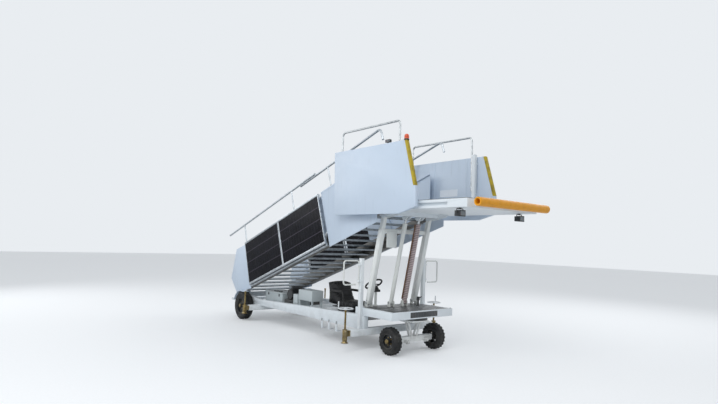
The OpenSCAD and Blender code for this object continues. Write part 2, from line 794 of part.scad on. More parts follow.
module lower_end_sheets() {
    face = pv_half_w - 50;
    color(white) placed() in_flight() both_sides() {
        side_plate([[0, -112], [pv_first_u - 5, pv_bottom_v - 110], [pv_first_u - 5, pv_top_v],
                    [215, pv_top_v + 20], [-190, 262]], face, face + 10);
        for (u = [230, 560])
            block([u, lower_half_w + stringer_t, 0], [u + 50, face, 45]);
        // Upright that carries the handrail's lower end
        block([560, face - 30, 45], [600, face, pv_top_v - 10]);
    }
}
module lower_handrails() {
    color(alu) placed() in_flight() both_sides() {
        rail_path([[-40, handrail_v], [pv_end_u - 20, handrail_v]], lower_rail_y, handrail_r, 60);
        for (u = [pv_first_u + 20, pv_end_u - 870])
            translate([u, lower_rail_y, pv_top_v + 22])
                cylinder(r = 15, h = handrail_v - handrail_r - pv_top_v - 20);
    }
}

// Upper flight
module upper_stringers() {
    u0 = upper_start_u;
    ear_r = 38;
    color(deep_grey) placed() in_flight() both_sides() {
        difference() {
            union() {
                channel([[u0, upper_bottom_v], [flight_len, upper_bottom_v],
                         [flight_len, upper_top_v], [u0, upper_top_v]],
                        upper_half_w, upper_half_w + stringer_flange, stringer_t);
                cross_pin([flight_len, 0], ear_r, upper_half_w, upper_half_w + stringer_flange);
            }
            cross_pin([flight_len, 0], pivot_pin_r + pin_gap, upper_half_w + 6, 800);
        }
        // Arms out to the side sheets
        for (u = sheet_arms)
            block([u, upper_half_w + stringer_t, 10], [u + 50, sheet_y - 8, 60]);
    }
}
module upper_treads() {
    color(alu) placed() in_flight()
        for (i = [0 : upper_tread_count - 1])
            tread(upper_half_w, [upper_tread_u + i * tread_pitch, upper_nose_v]);
}
module upper_side_sheets() {
    u0 = sheet_start_u;
    low_v = -195;
    foot_v = -75;
    neck_v = 36;
    post_y = sheet_y - 8;
    color(white) placed() in_flight() both_sides() {
        // The front end of the sheet is plumb, with a foot under the platform's rear end
        side_plate([[u0, low_v], [flight_u(sheet_foot_x, low_v), low_v],
                    [flight_u(sheet_foot_x, foot_v), foot_v],
                    [flight_u(sheet_end_x, neck_v), neck_v],
                    [flight_u(sheet_end_x, sheet_top_v), sheet_top_v], [u0, sheet_top_v]],
                   sheet_y, sheet_y + sheet_t);
        // Skirt that stays behind the solar panels
        block([u0 - 640, sheet_y - 32, upper_top_v + 10], [u0 + 40, sheet_y - 24, 790]);
        block([u0 + 2, sheet_y - 28, upper_top_v + 10], [u0 + 36, sheet_y + 2, 790]);
        // Posts from the arms up to the sheet
        for (u = sheet_arms)
            block([u, post_y, -150], [u + 50, sheet_y + 2, 780]);
        // Capping rail
        block([u0 + 4, sheet_y - 28, sheet_top_v - 6],
              [flight_u(sheet_end_x, sheet_top_v) - 10, sheet_y + sheet_t + 6, sheet_top_v + 22]);
    }
}
module upper_handrails() {
    end_u = flight_len + 361;
    cap_v = sheet_top_v + 22;
    color(alu) placed() in_flight() both_sides() {
        rail_path([[upper_start_u + 760, handrail_v], [end_u, handrail_v],
                   [end_u, handrail_v - 200]], upper_rail_y, handrail_r, 70);
        for (u = [flight_len - 1149, flight_len - 519]) {
            translate([u, upper_rail_y, cap_v - 2])
                cylinder(r = 15, h = handrail_v - handrail_r / 2 - cap_v);
            block([u - 20, upper_rail_y - 18, cap_v - 16],
                  [u + 20, sheet_y - 28, cap_v]);
        }
    }
}

// Platform
module platform_frame() {
    under = platform_under_z;
    top = platform_z - floor_sheet;
    recess = [[770, 2308], [1350, 2354]];
    recess_d = 40;
    hinge_y = upper_half_w + stringer_flange + run_gap;
    color(white) placed() {
        // Tray under the floor plate, with a recess along each side
        difference() {
            block([platform_rear, -platform_half_w, under],
                  [platform_front, platform_half_w, top]);
            block([platform_rear + frame_t, -platform_half_w + frame_t, under + under_sheet],
                  [platform_front - frame_t, platform_half_w - frame_t, top + 1]);
            both_sides() block([recess[0][0], platform_half_w - frame_t - 1, recess[0][1]],
                               [recess[1][0], platform_half_w + 1, recess[1][1]]);
        }
        both_sides() {
            difference() {
                block([recess[0][0] - 8, platform_half_w - recess_d - 8, recess[0][1] - 8],
                      [recess[1][0] + 8, platform_half_w - 4, recess[1][1] + 8]);
                block([recess[0][0], platform_half_w - recess_d, recess[0][1]],
                      [recess[1][0], platform_half_w + 1, recess[1][1]]);
            }
            // Lugs and pins of the flight's hinge
            cross_pin(hinge, 40, hinge_y, hinge_y + 18);
            block([hinge[0], hinge_y, hinge[1] - 34],
                  [platform_rear + 4, hinge_y + 18, hinge[1] + 40]);
            cross_pin(hinge, pivot_pin_r, upper_half_w + 10, hinge_y + 2);
            // Stubs that carry the side panels
            for (x = [20, 560])
                block([x, platform_half_w - 4, under + 30], [x + 90, panel_inner, under + 90]);
            // Post at the side of the door, and its ties to the panel
            block([455, platform_half_w - 4, under + 20], [515, platform_half_w + 60, top - 10]);
            block([455, platform_half_w, under + 20], [515, platform_half_w + 60, 3320]);
            for (z = [2600, 3150])
                block([465, platform_half_w + 56, z], [505, panel_inner, z + 40]);
        }
        lift_brackets();
        // Brackets of the bumper
        for (y = [-600, 0, 600])
            block([platform_front - 4, y - 40, bumper_z - 40],
                  [bumper_x - bumper_r - seat_gap, y + 40, bumper_z + 40]);
    }
}
// Cheeks under the platform that hold the eyes of the legs and cylinders
module lift_brackets() {
    seat = platform_under_z + 2;
    leg_side = leg_inner / 2 + run_gap;
    cyl_side = rod_eye / 2 + run_gap;
    both_sides() {
        for (y = [leg_y - leg_side - cheek, leg_y + leg_side])
            difference() {
                side_plate([[180, seat], [platform_rear + 4, seat],
                            [leg_eye[0] - 8, leg_eye[1] + 36], [leg_eye[0] - 34, leg_eye[1] + 14],
                            [leg_eye[0] - 34, leg_eye[1] - 18], [leg_eye[0] - 12, leg_eye[1] - 36],
                            [leg_eye[0] + 40, leg_eye[1] - 36], [120, seat - 40]],
                           y, y + cheek);
                for (d = [75, 135])
                    cross_pin([leg_eye[0] + d, leg_eye[1] + d * 0.15], 12, y - 1, y + cheek + 1);
            }
        // Pin head of the leg, on its inner side
        cross_pin(leg_eye, 28, leg_y - leg_side - cheek - 8, leg_y - leg_side - cheek + 2);
        for (m = [-1, 1]) {
            y = cylinder_y + m * (cyl_side + cheek / 2);
            side_plate([[20, seat - 40], [-30, seat], [cyl_eye[0] - 45, cyl_eye[1] + 40],
                        [cyl_eye[0] - 48, cyl_eye[1] - 20], [cyl_eye[0] - 20, cyl_eye[1] - 45],
                        [cyl_eye[0] + 30, cyl_eye[1] - 40]],
                       y - cheek / 2, y + cheek / 2);
        }
    }
    // Beam across the cheeks
    beam_end = leg_y - leg_side - cheek + 4;
    block([platform_rear + 4, -beam_end, seat - 62], [24, beam_end, seat]);
}
module platform_floor() {
    color(dark) placed()
        block([platform_rear, -platform_half_w, platform_z - floor_sheet],
              [platform_front, platform_half_w, platform_z]);
}
module side_panels() {
    outline = [[-1045, 2210], [528, 2202], panel_foot,
               [panel_knee[0] + strip_w, panel_knee[1]], panel_knee, panel_top,
               [-1089, panel_top[1]]];
    // Two sheets on a folded edge, hollow between them
    color(white) placed() both_sides() difference() {
        side_plate(outline, panel_inner, panel_half_w);
        side_plate(inset(outline, panel_sheet), panel_inner + panel_sheet,
                   panel_half_w - panel_sheet);
    }
}
module edge_strips() {
    n = seat_gap * -left_normal(panel_top - panel_knee);
    low = panel_knee + [0, seat_gap];
    color("#c3a626") placed() both_sides()
        side_plate([low + n, low + [strip_w, 0], panel_top + [strip_w, 0], panel_top + n],
                   panel_inner, panel_half_w);
}
module bumper() {
    color("#e79a1a") placed() translate([bumper_x, 0, bumper_z]) rotate([90, 0, 0])
        difference() {
            cylinder(r = bumper_r, h = 2 * platform_half_w, center = true);
            cylinder(r = bumper_hole_r, h = 2 * platform_half_w + 2, center = true);
        }
}
module rail_frames() {
    y = platform_half_w + 40;
    color(alu) placed() both_sides() {
        rail_path([[-1000, 2700], [-1000, top_rail_z], [420, top_rail_z], [420, 2700]],
                  y, rail_r, 60);
        for (x = [-1000, 420]) for (z = [2750, 3150])
            block([x - 14, y + rail_r - 4, z], [x + 14, panel_inner, z + 40]);
    }
}
module beacon() {
    color("#e0501a") placed()
        translate([643, -(panel_half_w - panel_t / 2), panel_top[1] + seat_gap])
            rotate_extrude() polygon([
                [0, 0], [40, 0], [40, 18], [37, 21], [37, 62], [33, 76], [22, 87], [9, 92],
                [0, 92]]);
}
module platform_lamps() {
    y = panel_half_w - panel_t / 2;
    color(dark) placed() {
        // Lamp on the right-hand panel, with its foot
        block([195, -y - 22, panel_top[1] + 12], [305, -y + 22, panel_top[1] + 58]);
        block([235, -y - 15, panel_top[1]], [265, -y + 15, panel_top[1] + 14]);
        // Work lamps on their brackets under the front edge
        both_sides() {
            block([1415, 640, platform_under_z - 122], [1525, 760, platform_under_z - 30]);
            for (m = [632, 760])
                block([1455, m, platform_under_z - 80], [1485, m + 8, platform_under_z]);
        }
    }
}

// Legs and lift cylinders
module leg_outers() {
    side = leg_outer / 2;
    bore = leg_inner + 6;
    color(leg_white) placed() {
        both_sides() translate([0, leg_y, 0]) along(leg_foot, leg_eye) difference() {
            union() {
                translate([-side, -side, 30]) cube([leg_outer, leg_outer, leg_outer_len - 30]);
                rotate([90, 0, 0]) cylinder(r = 32, h = leg_outer, center = true);
                translate([-32, -side, 0]) cube([64, leg_outer, 34]);
            }
            translate([-bore / 2, -bore / 2, 70]) cube([bore, bore, leg_outer_len]);
            rotate([90, 0, 0])
                cylinder(r = 20 + pin_gap, h = leg_outer + 2, center = true);
        }
        // Cross bar between the legs
        along(leg_foot, leg_eye) translate([-side, -leg_y + side - 3, leg_outer_len - 75])
            cube([50, 2 * (leg_y - side + 3), 70]);
        ribbed_plate();
    }
}
// Upright plate with level ribs, hung from the cross bar beside the right-hand leg
module ribbed_plate() {
    y = [-425, -200];
    block([-293, y[0], 1690], [-279, y[1], 1970]);
    for (i = [0 : 12])
        block([-280, y[0] + 6, 1698 + i * 20], [-274, y[1] - 6, 1708 + i * 20]);
}
module leg_inners() {
    reach = norm(leg_eye - leg_foot);
    color(leg_white) placed() both_sides() translate([0, leg_y, 0]) along(leg_foot, leg_eye) {
        translate([-leg_inner / 2, -leg_inner / 2, 80])
            cube([leg_inner, leg_inner, reach - 80]);
        translate([0, 0, reach]) rotate([90, 0, 0])
            cylinder(r = leg_inner / 2, h = leg_inner, center = true);
        // Wear pads near the foot of the inner tube
        for (a = [0, 90, 180, 270]) rotate([0, 0, a])
            translate([leg_inner / 2 - 2, -22, 90]) cube([5 - seat_gap, 44, 60]);
    }
}
module barrel_body(r, head) {
    difference() {
        union() {
            translate([0, 0, 26]) cylinder(r = r, h = barrel_len - 26);
            rotate([90, 0, 0]) cylinder(r = 32, h = barrel_eye, center = true);
            translate([0, 0, barrel_len + 30 - head]) cylinder(r = r + 6, h = head);
        }
        rotate([90, 0, 0]) cylinder(r = 18 + pin_gap, h = barrel_eye + 2, center = true);
        translate([0, 0, 120]) cylinder(r = rod_r + pin_gap, h = barrel_len);
    }
}
module cylinder_barrel() {
    color(leg_white) placed() translate([0, -cylinder_y, 0]) along(cyl_foot, cyl_eye)
        barrel_body(cylinder_r, 145);
}
module ribbed_barrel() {
    pitch = 30;
    color("#b9a5a5") placed() translate([0, cylinder_y, 0]) along(cyl_foot, cyl_eye)
        difference() {
            union() {
                barrel_body(rib_r - 7, 32);
                for (z = [80 : pitch : barrel_len - 60])
                    translate([0, 0, z]) cylinder(r = rib_r, h = pitch / 2);
            }
            translate([0, 0, 120]) cylinder(r = rod_r + pin_gap, h = barrel_len);
        }
}
// Pipe along the ribbed barrel, with the clips that hold it
module feed_pipe() {
    r = 12;
    away = rib_r + r + 8;
    color("#6e5238") placed() translate([0, cylinder_y - away, 0]) along(cyl_foot, cyl_eye) {
        translate([0, 0, 60]) cylinder(r = r, h = barrel_len - 40);
        for (z = [170, 620, 1070])
            translate([-9, 0, z]) cube([18, away - rib_r - seat_gap, 15]);
    }
}
module cylinder_rods() {
    reach = norm(cyl_eye - cyl_foot);
    color("#b8bcc0") placed() both_sides() translate([0, cylinder_y, 0]) along(cyl_foot, cyl_eye) {
        translate([0, 0, 130]) cylinder(r = rod_r, h = reach - 130);
        translate([0, 0, reach]) rotate([90, 0, 0])
            cylinder(r = 30, h = rod_eye, center = true);
    }
}

side_beams();
cross_beams();
rear_axle();
rear_entry_step();
mudguards();
side_steps();
deck_frame();
deck_plates();
slewing_ring();
lift_clevises();
gate_posts();
jack_sleeves();
battery_box();
power_pack();
equipment_boxes();
seat_base();
driver_seat();
steering_column();
steering_console();
steering_wheel();
valve_stand();
dolly_frame();
front_wheel_place(1) front_tyre();  // front_tyre_left
front_wheel_place(1) front_rim(1);  // front_rim_left
front_wheel_place(-1) front_tyre();  // front_tyre_right
front_wheel_place(-1) front_rim(-1);  // front_rim_right
rear_wheel_place(1) rear_tyre();  // rear_tyre_left
rear_wheel_place(1) rear_rim(1);  // rear_rim_left
rear_wheel_place(-1) rear_tyre();  // rear_tyre_right
rear_wheel_place(-1) rear_rim(-1);  // rear_rim_right
jack(front_beam_x, 1, true);  // jack_front_left
jack(front_beam_x, -1, true);  // jack_front_right
jack(rear_beam_x, 1, false);  // jack_rear_left
jack(rear_beam_x, -1, false);  // jack_rear_right
gate_loop(1);  // gate_loop_left
gate_loop(-1);  // gate_loop_right
lower_stringers();
lower_treads();
pv_panels();
pv_side_frames();
lower_end_sheets();
lower_handrails();
upper_stringers();
upper_treads();
upper_side_sheets();
upper_handrails();
platform_frame();
platform_floor();
side_panels();
edge_strips();
bumper();
rail_frames();
beacon();
platform_lamps();
leg_outers();
leg_inners();
cylinder_barrel();
ribbed_barrel();
feed_pipe();
cylinder_rods();
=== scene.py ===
"""Looks of a set of mobile aircraft stairs: finishes, tyres, seat, lamps and small parts.

Lengths are in metres in the frame's own axes: +X runs ahead, towards the bumper, +Y to the left
and +Z up. Sizes that the frame knows are read from it, and the rest are named fields.
"""
from __future__ import annotations

import json
import logging
import math
from collections.abc import Callable
from dataclasses import dataclass
from enum import Enum

import bmesh
import bpy
from mathutils import Matrix, Vector

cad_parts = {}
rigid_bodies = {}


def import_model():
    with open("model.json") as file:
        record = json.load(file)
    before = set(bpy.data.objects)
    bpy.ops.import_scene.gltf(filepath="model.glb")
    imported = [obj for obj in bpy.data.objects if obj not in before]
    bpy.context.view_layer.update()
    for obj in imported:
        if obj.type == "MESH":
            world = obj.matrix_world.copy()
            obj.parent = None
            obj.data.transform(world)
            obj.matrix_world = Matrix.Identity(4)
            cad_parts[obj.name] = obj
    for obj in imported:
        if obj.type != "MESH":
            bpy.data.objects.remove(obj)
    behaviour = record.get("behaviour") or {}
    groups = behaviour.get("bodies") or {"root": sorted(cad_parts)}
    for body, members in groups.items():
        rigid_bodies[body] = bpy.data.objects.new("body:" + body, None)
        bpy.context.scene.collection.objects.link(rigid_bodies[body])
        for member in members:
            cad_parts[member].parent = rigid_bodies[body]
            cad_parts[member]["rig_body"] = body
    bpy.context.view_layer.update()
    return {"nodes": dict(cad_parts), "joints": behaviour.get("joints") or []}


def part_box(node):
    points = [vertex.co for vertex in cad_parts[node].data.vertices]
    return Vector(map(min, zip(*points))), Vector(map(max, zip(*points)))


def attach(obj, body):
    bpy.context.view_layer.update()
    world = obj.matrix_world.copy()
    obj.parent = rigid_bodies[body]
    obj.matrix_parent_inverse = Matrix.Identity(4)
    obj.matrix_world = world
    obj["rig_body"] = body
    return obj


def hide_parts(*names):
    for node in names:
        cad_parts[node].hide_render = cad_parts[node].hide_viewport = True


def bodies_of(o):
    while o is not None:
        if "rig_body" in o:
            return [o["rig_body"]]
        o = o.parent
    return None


LOG = logging.getLogger("aircraft_stairs")
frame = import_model()

MM = 0.001
UP = Vector((0, 0, 1))
LEFT = Vector((0, 1, 0))
AHEAD = Vector((1, 0, 0))

Piece = bpy.types.Object
Tree = bpy.types.NodeTree
Socket = bpy.types.NodeSocket


class Side(Enum):
    """Which side of the machine a piece is on."""

    LEFT = 1
    RIGHT = -1

    @property
    def word(self) -> str:
        """Name of the side as the frame's nodes spell it."""
        return self.name.lower()


def joint(name: str) -> dict:
    """One joint of the frame.

    Args:
        name: The joint's name in the record.

    Returns:
        Its entry, with its place and axis.
    """
    return next(entry for entry in frame["joints"] if entry["name"] == name)


# The dolly turns this far behind the datum.
KINGPIN_BACK = 0.05
# Depth of a solar module from its glass to its back.
MODULE_DEPTH = 0.035

PIVOT = Vector(joint("lift")["pos_m"])
CLIMB = Vector(joint("flight_extend")["axis"])
SLOPE = math.atan2(CLIMB.z, CLIMB.x)
DATUM = Vector(joint("steering")["pos_m"]).x + KINGPIN_BACK
IN_FLIGHT = Matrix.Translation(PIVOT) @ Matrix.Rotation(-SLOPE, 4, "Y")
PV_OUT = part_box("pv_panels")[1].y
PV_IN = PV_OUT - MODULE_DEPTH


def from_datum(x: float, y: float, z: float) -> Vector:
    """A point measured from the datum just ahead of the front axle.

    Args:
        x: Distance ahead of the datum.
        y: Distance left of the middle.
        z: Height above the ground.

    Returns:
        The point in the frame's axes.
    """
    return Vector((DATUM + x, y, z))


# Nodes of a material


def srgb(colour: str) -> tuple[float, float, float, float]:
    """Linear colour of an sRGB hex value.

    Args:
        colour: Six hex digits after a hash sign.

    Returns:
        Red, green, blue and an alpha of one.
    """
    def linear(part: float) -> float:
        """Linear value of one channel."""
        return part / 12.92 if part <= 0.04045 else ((part + 0.055) / 1.055) ** 2.4

    parts = [int(colour[i:i + 2], 16) / 255 for i in (1, 3, 5)]
    return (*(linear(part) for part in parts), 1.0)


def add_node(tree: Tree, kind: str, links: dict | None = None,
             **settings: object) -> bpy.types.Node:
    """Adds one node with its settings and links.

    Args:
        tree: Node tree that gets it.
        kind: Type name of the node.
        links: Sockets or plain values for its inputs, by name or place.
        settings: Values of the node's own properties.

    Returns:
        The new node.
    """
    made = tree.nodes.new(kind)
    for name, value in settings.items():
        setattr(made, name, value)
    for key, value in (links or {}).items():
        if isinstance(value, Socket):
            tree.links.new(value, made.inputs[key])
        else:
            made.inputs[key].default_value = value
    return made


@dataclass(frozen=True)
class Finish:
    """A surface finish that turns into one procedural material.

    Attributes:
        name: Common name of the real material.
        colour: Its sRGB colour.
        roughness: Roughness of the clean surface.
        metallic: One on bare metal.
        grain_mm: Size of the finest unevenness.
        grain_depth_mm: Depth of that unevenness.
        dust: Share of dust where it gathers.
        dust_colour: Colour of that dust.
    """

    name: str
    colour: str
    roughness: float = 0.5
    metallic: float = 0.0
    grain_mm: float = 4.0
    grain_depth_mm: float = 0.05
    dust: float = 0.15
    dust_colour: str = "#8d8a82"

    def material(self) -> bpy.types.Material:
        """Makes the material on the first call and finds it again after that.

        Returns:
            The material, with its patterns linked.
        """
        known = bpy.data.materials.get(self.name)
        if known:
            return known
        made = bpy.data.materials.new(self.name)
        made.use_nodes = True
        tree = made.node_tree
        shader = tree.nodes["Principled BSDF"]
        shader.inputs["Metallic"].default_value = self.metallic
        place = add_node(tree, "ShaderNodeTexCoord").outputs["Object"]
        self.dress(tree, shader, place)
        made.diffuse_color = srgb(self.colour)
        return made

    def noise(self, tree: Tree, place: Socket, size_mm: float,
              stretch: tuple[float, float, float] = (1, 1, 1),
              detail: float = 3.0) -> Socket:
        """Noise whose features have a real size.

        Args:
            tree: Node tree of the material.
            place: Object coordinates.
            size_mm: Size of one feature.
            stretch: Share of the coordinates on each axis.
            detail: Octaves of finer noise.

        Returns:
            The noise's value, around one half.
        """
        scaled = add_node(tree, "ShaderNodeMapping", {"Vector": place, "Scale": stretch})
        made = add_node(tree, "ShaderNodeTexNoise", {
            "Vector": scaled.outputs[0], "Scale": 1 / (size_mm * MM), "Detail": detail})
        return made.outputs["Fac"]

    def band(self, tree: Tree, value: Socket, low: float,
             high: float, to_low: float = 0.0, to_high: float = 1.0) -> Socket:
        """Value stretched from one range onto another and held at its ends.

        Args:
            tree: Node tree of the material.
            value: Value that comes in.
            low: Start of its range.
            high: End of its range.
            to_low: Result at the start.
            to_high: Result at the end.

        Returns:
            The new value.
        """
        return add_node(tree, "ShaderNodeMapRange", {
            "Value": value, "From Min": low, "From Max": high, "To Min": to_low,
            "To Max": to_high}, interpolation_type="SMOOTHSTEP").outputs[0]

    def mix(self, tree: Tree, share: Socket | float,
            first: Socket | tuple, second: Socket | tuple,
            kind: str = "MIX") -> Socket:
        """Blend of two colours.

        Args:
            tree: Node tree of the material.
            share: Share of the second colour.
            first: First colour.
            second: Second colour.
            kind: Blend type.

        Returns:
            The blended colour.
        """
        made = add_node(tree, "ShaderNodeMix", {0: share, 6: first, 7: second},
                        data_type="RGBA", blend_type=kind)
        return made.outputs[2]

    def times(self, tree: Tree, first: Socket | float,
              second: Socket | float,
              operation: str = "MULTIPLY") -> Socket:
        """Result of one sum on two values.

        Args:
            tree: Node tree of the material.
            first: First value.
            second: Second value.
            operation: Which sum.

        Returns:
            The result.
        """
        return add_node(tree, "ShaderNodeMath", {0: first, 1: second},
                        operation=operation).outputs[0]

    def bump(self, tree: Tree, height: Socket, depth_mm: float,
             below: Socket | None = None) -> Socket:
        """Bump whose height is a real depth.

        Args:
            tree: Node tree of the material.
            height: Height from zero to one.
            depth_mm: Depth that one stands for.
            below: Normal of a coarser bump.

        Returns:
            The bumped normal.
        """
        links = {"Height": height, "Distance": depth_mm * MM, "Strength": 1.0}
        if below is not None:
            links["Normal"] = below
        return add_node(tree, "ShaderNodeBump", links).outputs[0]

    def settled(self, tree: Tree,
                place: Socket) -> Socket:
        """How much dust lies at a point: on upward faces, in patches, and low on the machine.

        Args:
            tree: Node tree of the material.
            place: Object coordinates.

        Returns:
            Share of dust, up to the finish's own.
        """
        normal = add_node(tree, "ShaderNodeTexCoord").outputs["Normal"]
        up = add_node(tree, "ShaderNodeSeparateXYZ", {0: normal}).outputs["Z"]
        height = add_node(tree, "ShaderNodeSeparateXYZ", {0: place}).outputs["Z"]
        on_top = self.band(tree, up, 0.6, 0.95)
        splash = self.band(tree, height, 0.75, 0.15)
        patches = self.band(tree, self.noise(tree, place, 140), 0.38, 0.68)
        both = self.times(tree, on_top, splash, "MAXIMUM")
        return self.times(tree, self.times(tree, both, patches), self.dust)

    def colour_link(self, tree: Tree, shader: bpy.types.Node, place: Socket,
                    base: Socket) -> None:
        """Lays the dust over a colour and links both to the shader.

        Args:
            tree: Node tree of the material.
            shader: Principled shader.
            place: Object coordinates.
            base: Colour of the clean surface.
        """
        dusty = self.mix(tree, self.settled(tree, place), base, srgb(self.dust_colour))
        tree.links.new(dusty, shader.inputs["Base Color"])

    def roughness_link(self, tree: Tree, shader: bpy.types.Node, value: Socket,
                       ends: tuple[float, float], less: float, more: float) -> None:
        """Links a roughness that a pattern swings about the finish's own.

        Args:
            tree: Node tree of the material.
            shader: Principled shader.
            value: Pattern that drives it.
            ends: Range of the pattern.
            less: How far the roughness falls below.
            more: How far it rises above.
        """
        rough = self.band(tree, value, *ends, self.roughness - less, self.roughness + more)
        tree.links.new(rough, shader.inputs["Roughness"])

    def grain_link(self, tree: Tree, shader: bpy.types.Node, grain: Socket,
                   below: Socket | None = None) -> None:
        """Links the bump of the finest unevenness.

        Args:
            tree: Node tree of the material.
            shader: Principled shader.
            grain: Height of the grain.
            below: Normal of a coarser bump.
        """
        tree.links.new(self.bump(tree, grain, self.grain_depth_mm, below),
                       shader.inputs["Normal"])

    def dress(self, tree: Tree, shader: bpy.types.Node, place: Socket) -> None:
        """Links the finish's patterns to the shader.

        Args:
            tree: Node tree of the material.
            shader: Principled shader.
            place: Object coordinates.
        """
        tone = self.band(tree, self.noise(tree, place, 600), 0.3, 0.7, 0.0, 0.12)
        base = self.mix(tree, tone, srgb(self.colour), (0.1, 0.1, 0.1, 1))
        self.colour_link(tree, shader, place, base)
        self.roughness_link(tree, shader, self.noise(tree, place, 60), (0.3, 0.7), 0.06, 0.08)
        self.grain_link(tree, shader, self.noise(tree, place, self.grain_mm, detail=2))


@dataclass(frozen=True)
class PaintedSteel(Finish):
    """Sprayed gloss paint on sheet and section: faint orange peel, rain streaks and grime.

    Attributes:
        streaks: Strength of the rain streaks.
        streak_colour: Their colour, and that of the paint's faint clouds.
        wave_mm: Depth of the long waves in the sheet below the paint.
    """

    streaks: float = 0.13
    streak_colour: str = "#7f8a92"
    wave_mm: float = 0.6

    def dress(self, tree: Tree, shader: bpy.types.Node, place: Socket) -> None:
        """Links the paint's cloudiness, streaks, dust and orange peel.

        Args:
            tree: Node tree of the material.
            shader: Principled shader.
            place: Object coordinates.
        """
        cloud = self.band(tree, self.noise(tree, place, 900), 0.35, 0.7, 0.0, 0.07)
        base = self.mix(tree, cloud, srgb(self.colour), srgb(self.streak_colour))
        run = self.noise(tree, place, 45, (1.0, 1.0, 0.06))
        where = self.band(tree, self.noise(tree, place, 420), 0.45, 0.65)
        share = self.times(tree, self.times(
            tree, self.band(tree, run, 0.52, 0.72), where), self.streaks)
        streaked = self.mix(tree, share, base, srgb(self.streak_colour))
        self.colour_link(tree, shader, place, streaked)
        self.roughness_link(tree, shader, self.noise(tree, place, 90), (0.3, 0.75), 0.05, 0.12)
        peel = self.noise(tree, place, self.grain_mm, detail=1)
        wave = self.noise(tree, place, 260, detail=1)
        self.grain_link(tree, shader, peel, self.bump(tree, wave, self.wave_mm))
        shader.inputs["Coat Weight"].default_value = 0.12
        shader.inputs["Coat Roughness"].default_value = 0.2


@dataclass(frozen=True)
class StudioFloor(Finish):
    """Plain pale floor that the camera sees at the same tone near and far.

    Attributes:
        lift: Strength of a glow that only the camera sees.
    """

    lift: float = 0.20

    def dress(self, tree: Tree, shader: bpy.types.Node, place: Socket) -> None:
        """Links a faint grain, and a glow that only the camera sees.

        Args:
            tree: Node tree of the material.
            shader: Principled shader.
            place: Object coordinates.
        """
        grain = self.band(tree, self.noise(tree, place, 30), 0.3, 0.7, 0.0, 0.04)
        tree.links.new(self.mix(tree, grain, srgb(self.colour), srgb(self.dust_colour)),
                       shader.inputs["Base Color"])
        shader.inputs["Roughness"].default_value = self.roughness
        shader.inputs["Emission Color"].default_value = srgb(self.colour)
        seen = add_node(tree, "ShaderNodeLightPath").outputs["Is Camera Ray"]
        tree.links.new(self.times(tree, seen, self.lift), shader.inputs["Emission Strength"])


@dataclass(frozen=True)
class CheckerPlate(PaintedSteel):
    """Rolled steel plate with raised lozenges that lie crosswise in turn.

    Attributes:
        pitch_mm: Distance between two lozenges.
        rise_mm: Height of a lozenge.
        worn: Colour where soles have rubbed the tops.
    """

    pitch_mm: float = 26.0
    rise_mm: float = 1.5
    worn: str = "#8e949a"

    def lozenges(self, tree: Tree,
                 place: Socket) -> Socket:
        """Height of the lozenges, from zero on the plate to one on their tops.

        Args:
            tree: Node tree of the material.
            place: Object coordinates.

        Returns:
            The height.
        """
        cells = 1 / (self.pitch_mm * MM)
        spread = add_node(tree, "ShaderNodeMapping", {
            "Vector": place, "Rotation": (0, 0, math.radians(45)), "Scale": (cells,) * 3})
        cell = add_node(tree, "ShaderNodeVectorMath", {0: spread.outputs[0]}, operation="FLOOR")
        inside = add_node(tree, "ShaderNodeVectorMath", {0: spread.outputs[0],
                                                         1: cell.outputs[0]},
                          operation="SUBTRACT")
        centred = add_node(tree, "ShaderNodeVectorMath", {0: inside.outputs[0],
                                                          1: (0.5, 0.5, 0.5)},
                           operation="SUBTRACT")
        folded = add_node(tree, "ShaderNodeVectorMath", {0: centred.outputs[0]},
                          operation="ABSOLUTE")
        x, y = add_node(tree, "ShaderNodeSeparateXYZ", {0: folded.outputs[0]}).outputs[:2]
        row = add_node(tree, "ShaderNodeSeparateXYZ", {0: cell.outputs[0]}).outputs
        odd = self.times(tree, self.times(tree, row[0], row[1], "ADD"), 1.0, "PINGPONG")
        step = self.times(tree, odd, self.times(tree, y, x, "SUBTRACT"))
        along = self.times(tree, x, step, "ADD")
        across = self.times(tree, y, step, "SUBTRACT")
        reach = self.times(tree, self.times(tree, along, 2.15), self.times(tree, across, 6.2),
                           "ADD")
        return self.band(tree, reach, 1.0, 0.6)

    def dress(self, tree: Tree, shader: bpy.types.Node, place: Socket) -> None:
        """Links the lozenges, the rubbed tops, the dust between them and the grain.

        Args:
            tree: Node tree of the material.
            shader: Principled shader.
            place: Object coordinates.
        """
        rise = self.lozenges(tree, place)
        cloud = self.band(tree, self.noise(tree, place, 300), 0.35, 0.7, 0.0, 0.4)
        base = self.mix(tree, cloud, srgb(self.colour), srgb(self.streak_colour))
        rubbed = self.times(tree, rise, self.band(tree, self.noise(tree, place, 180), 0.4, 0.62))
        worn = self.mix(tree, self.times(tree, rubbed, 0.55), base, srgb(self.worn))
        self.colour_link(tree, shader, place, worn)
        self.roughness_link(tree, shader, self.noise(tree, place, 60), (0.3, 0.75), 0.08, 0.14)
        self.grain_link(tree, shader, self.noise(tree, place, self.grain_mm, detail=2),
                        self.bump(tree, rise, self.rise_mm))


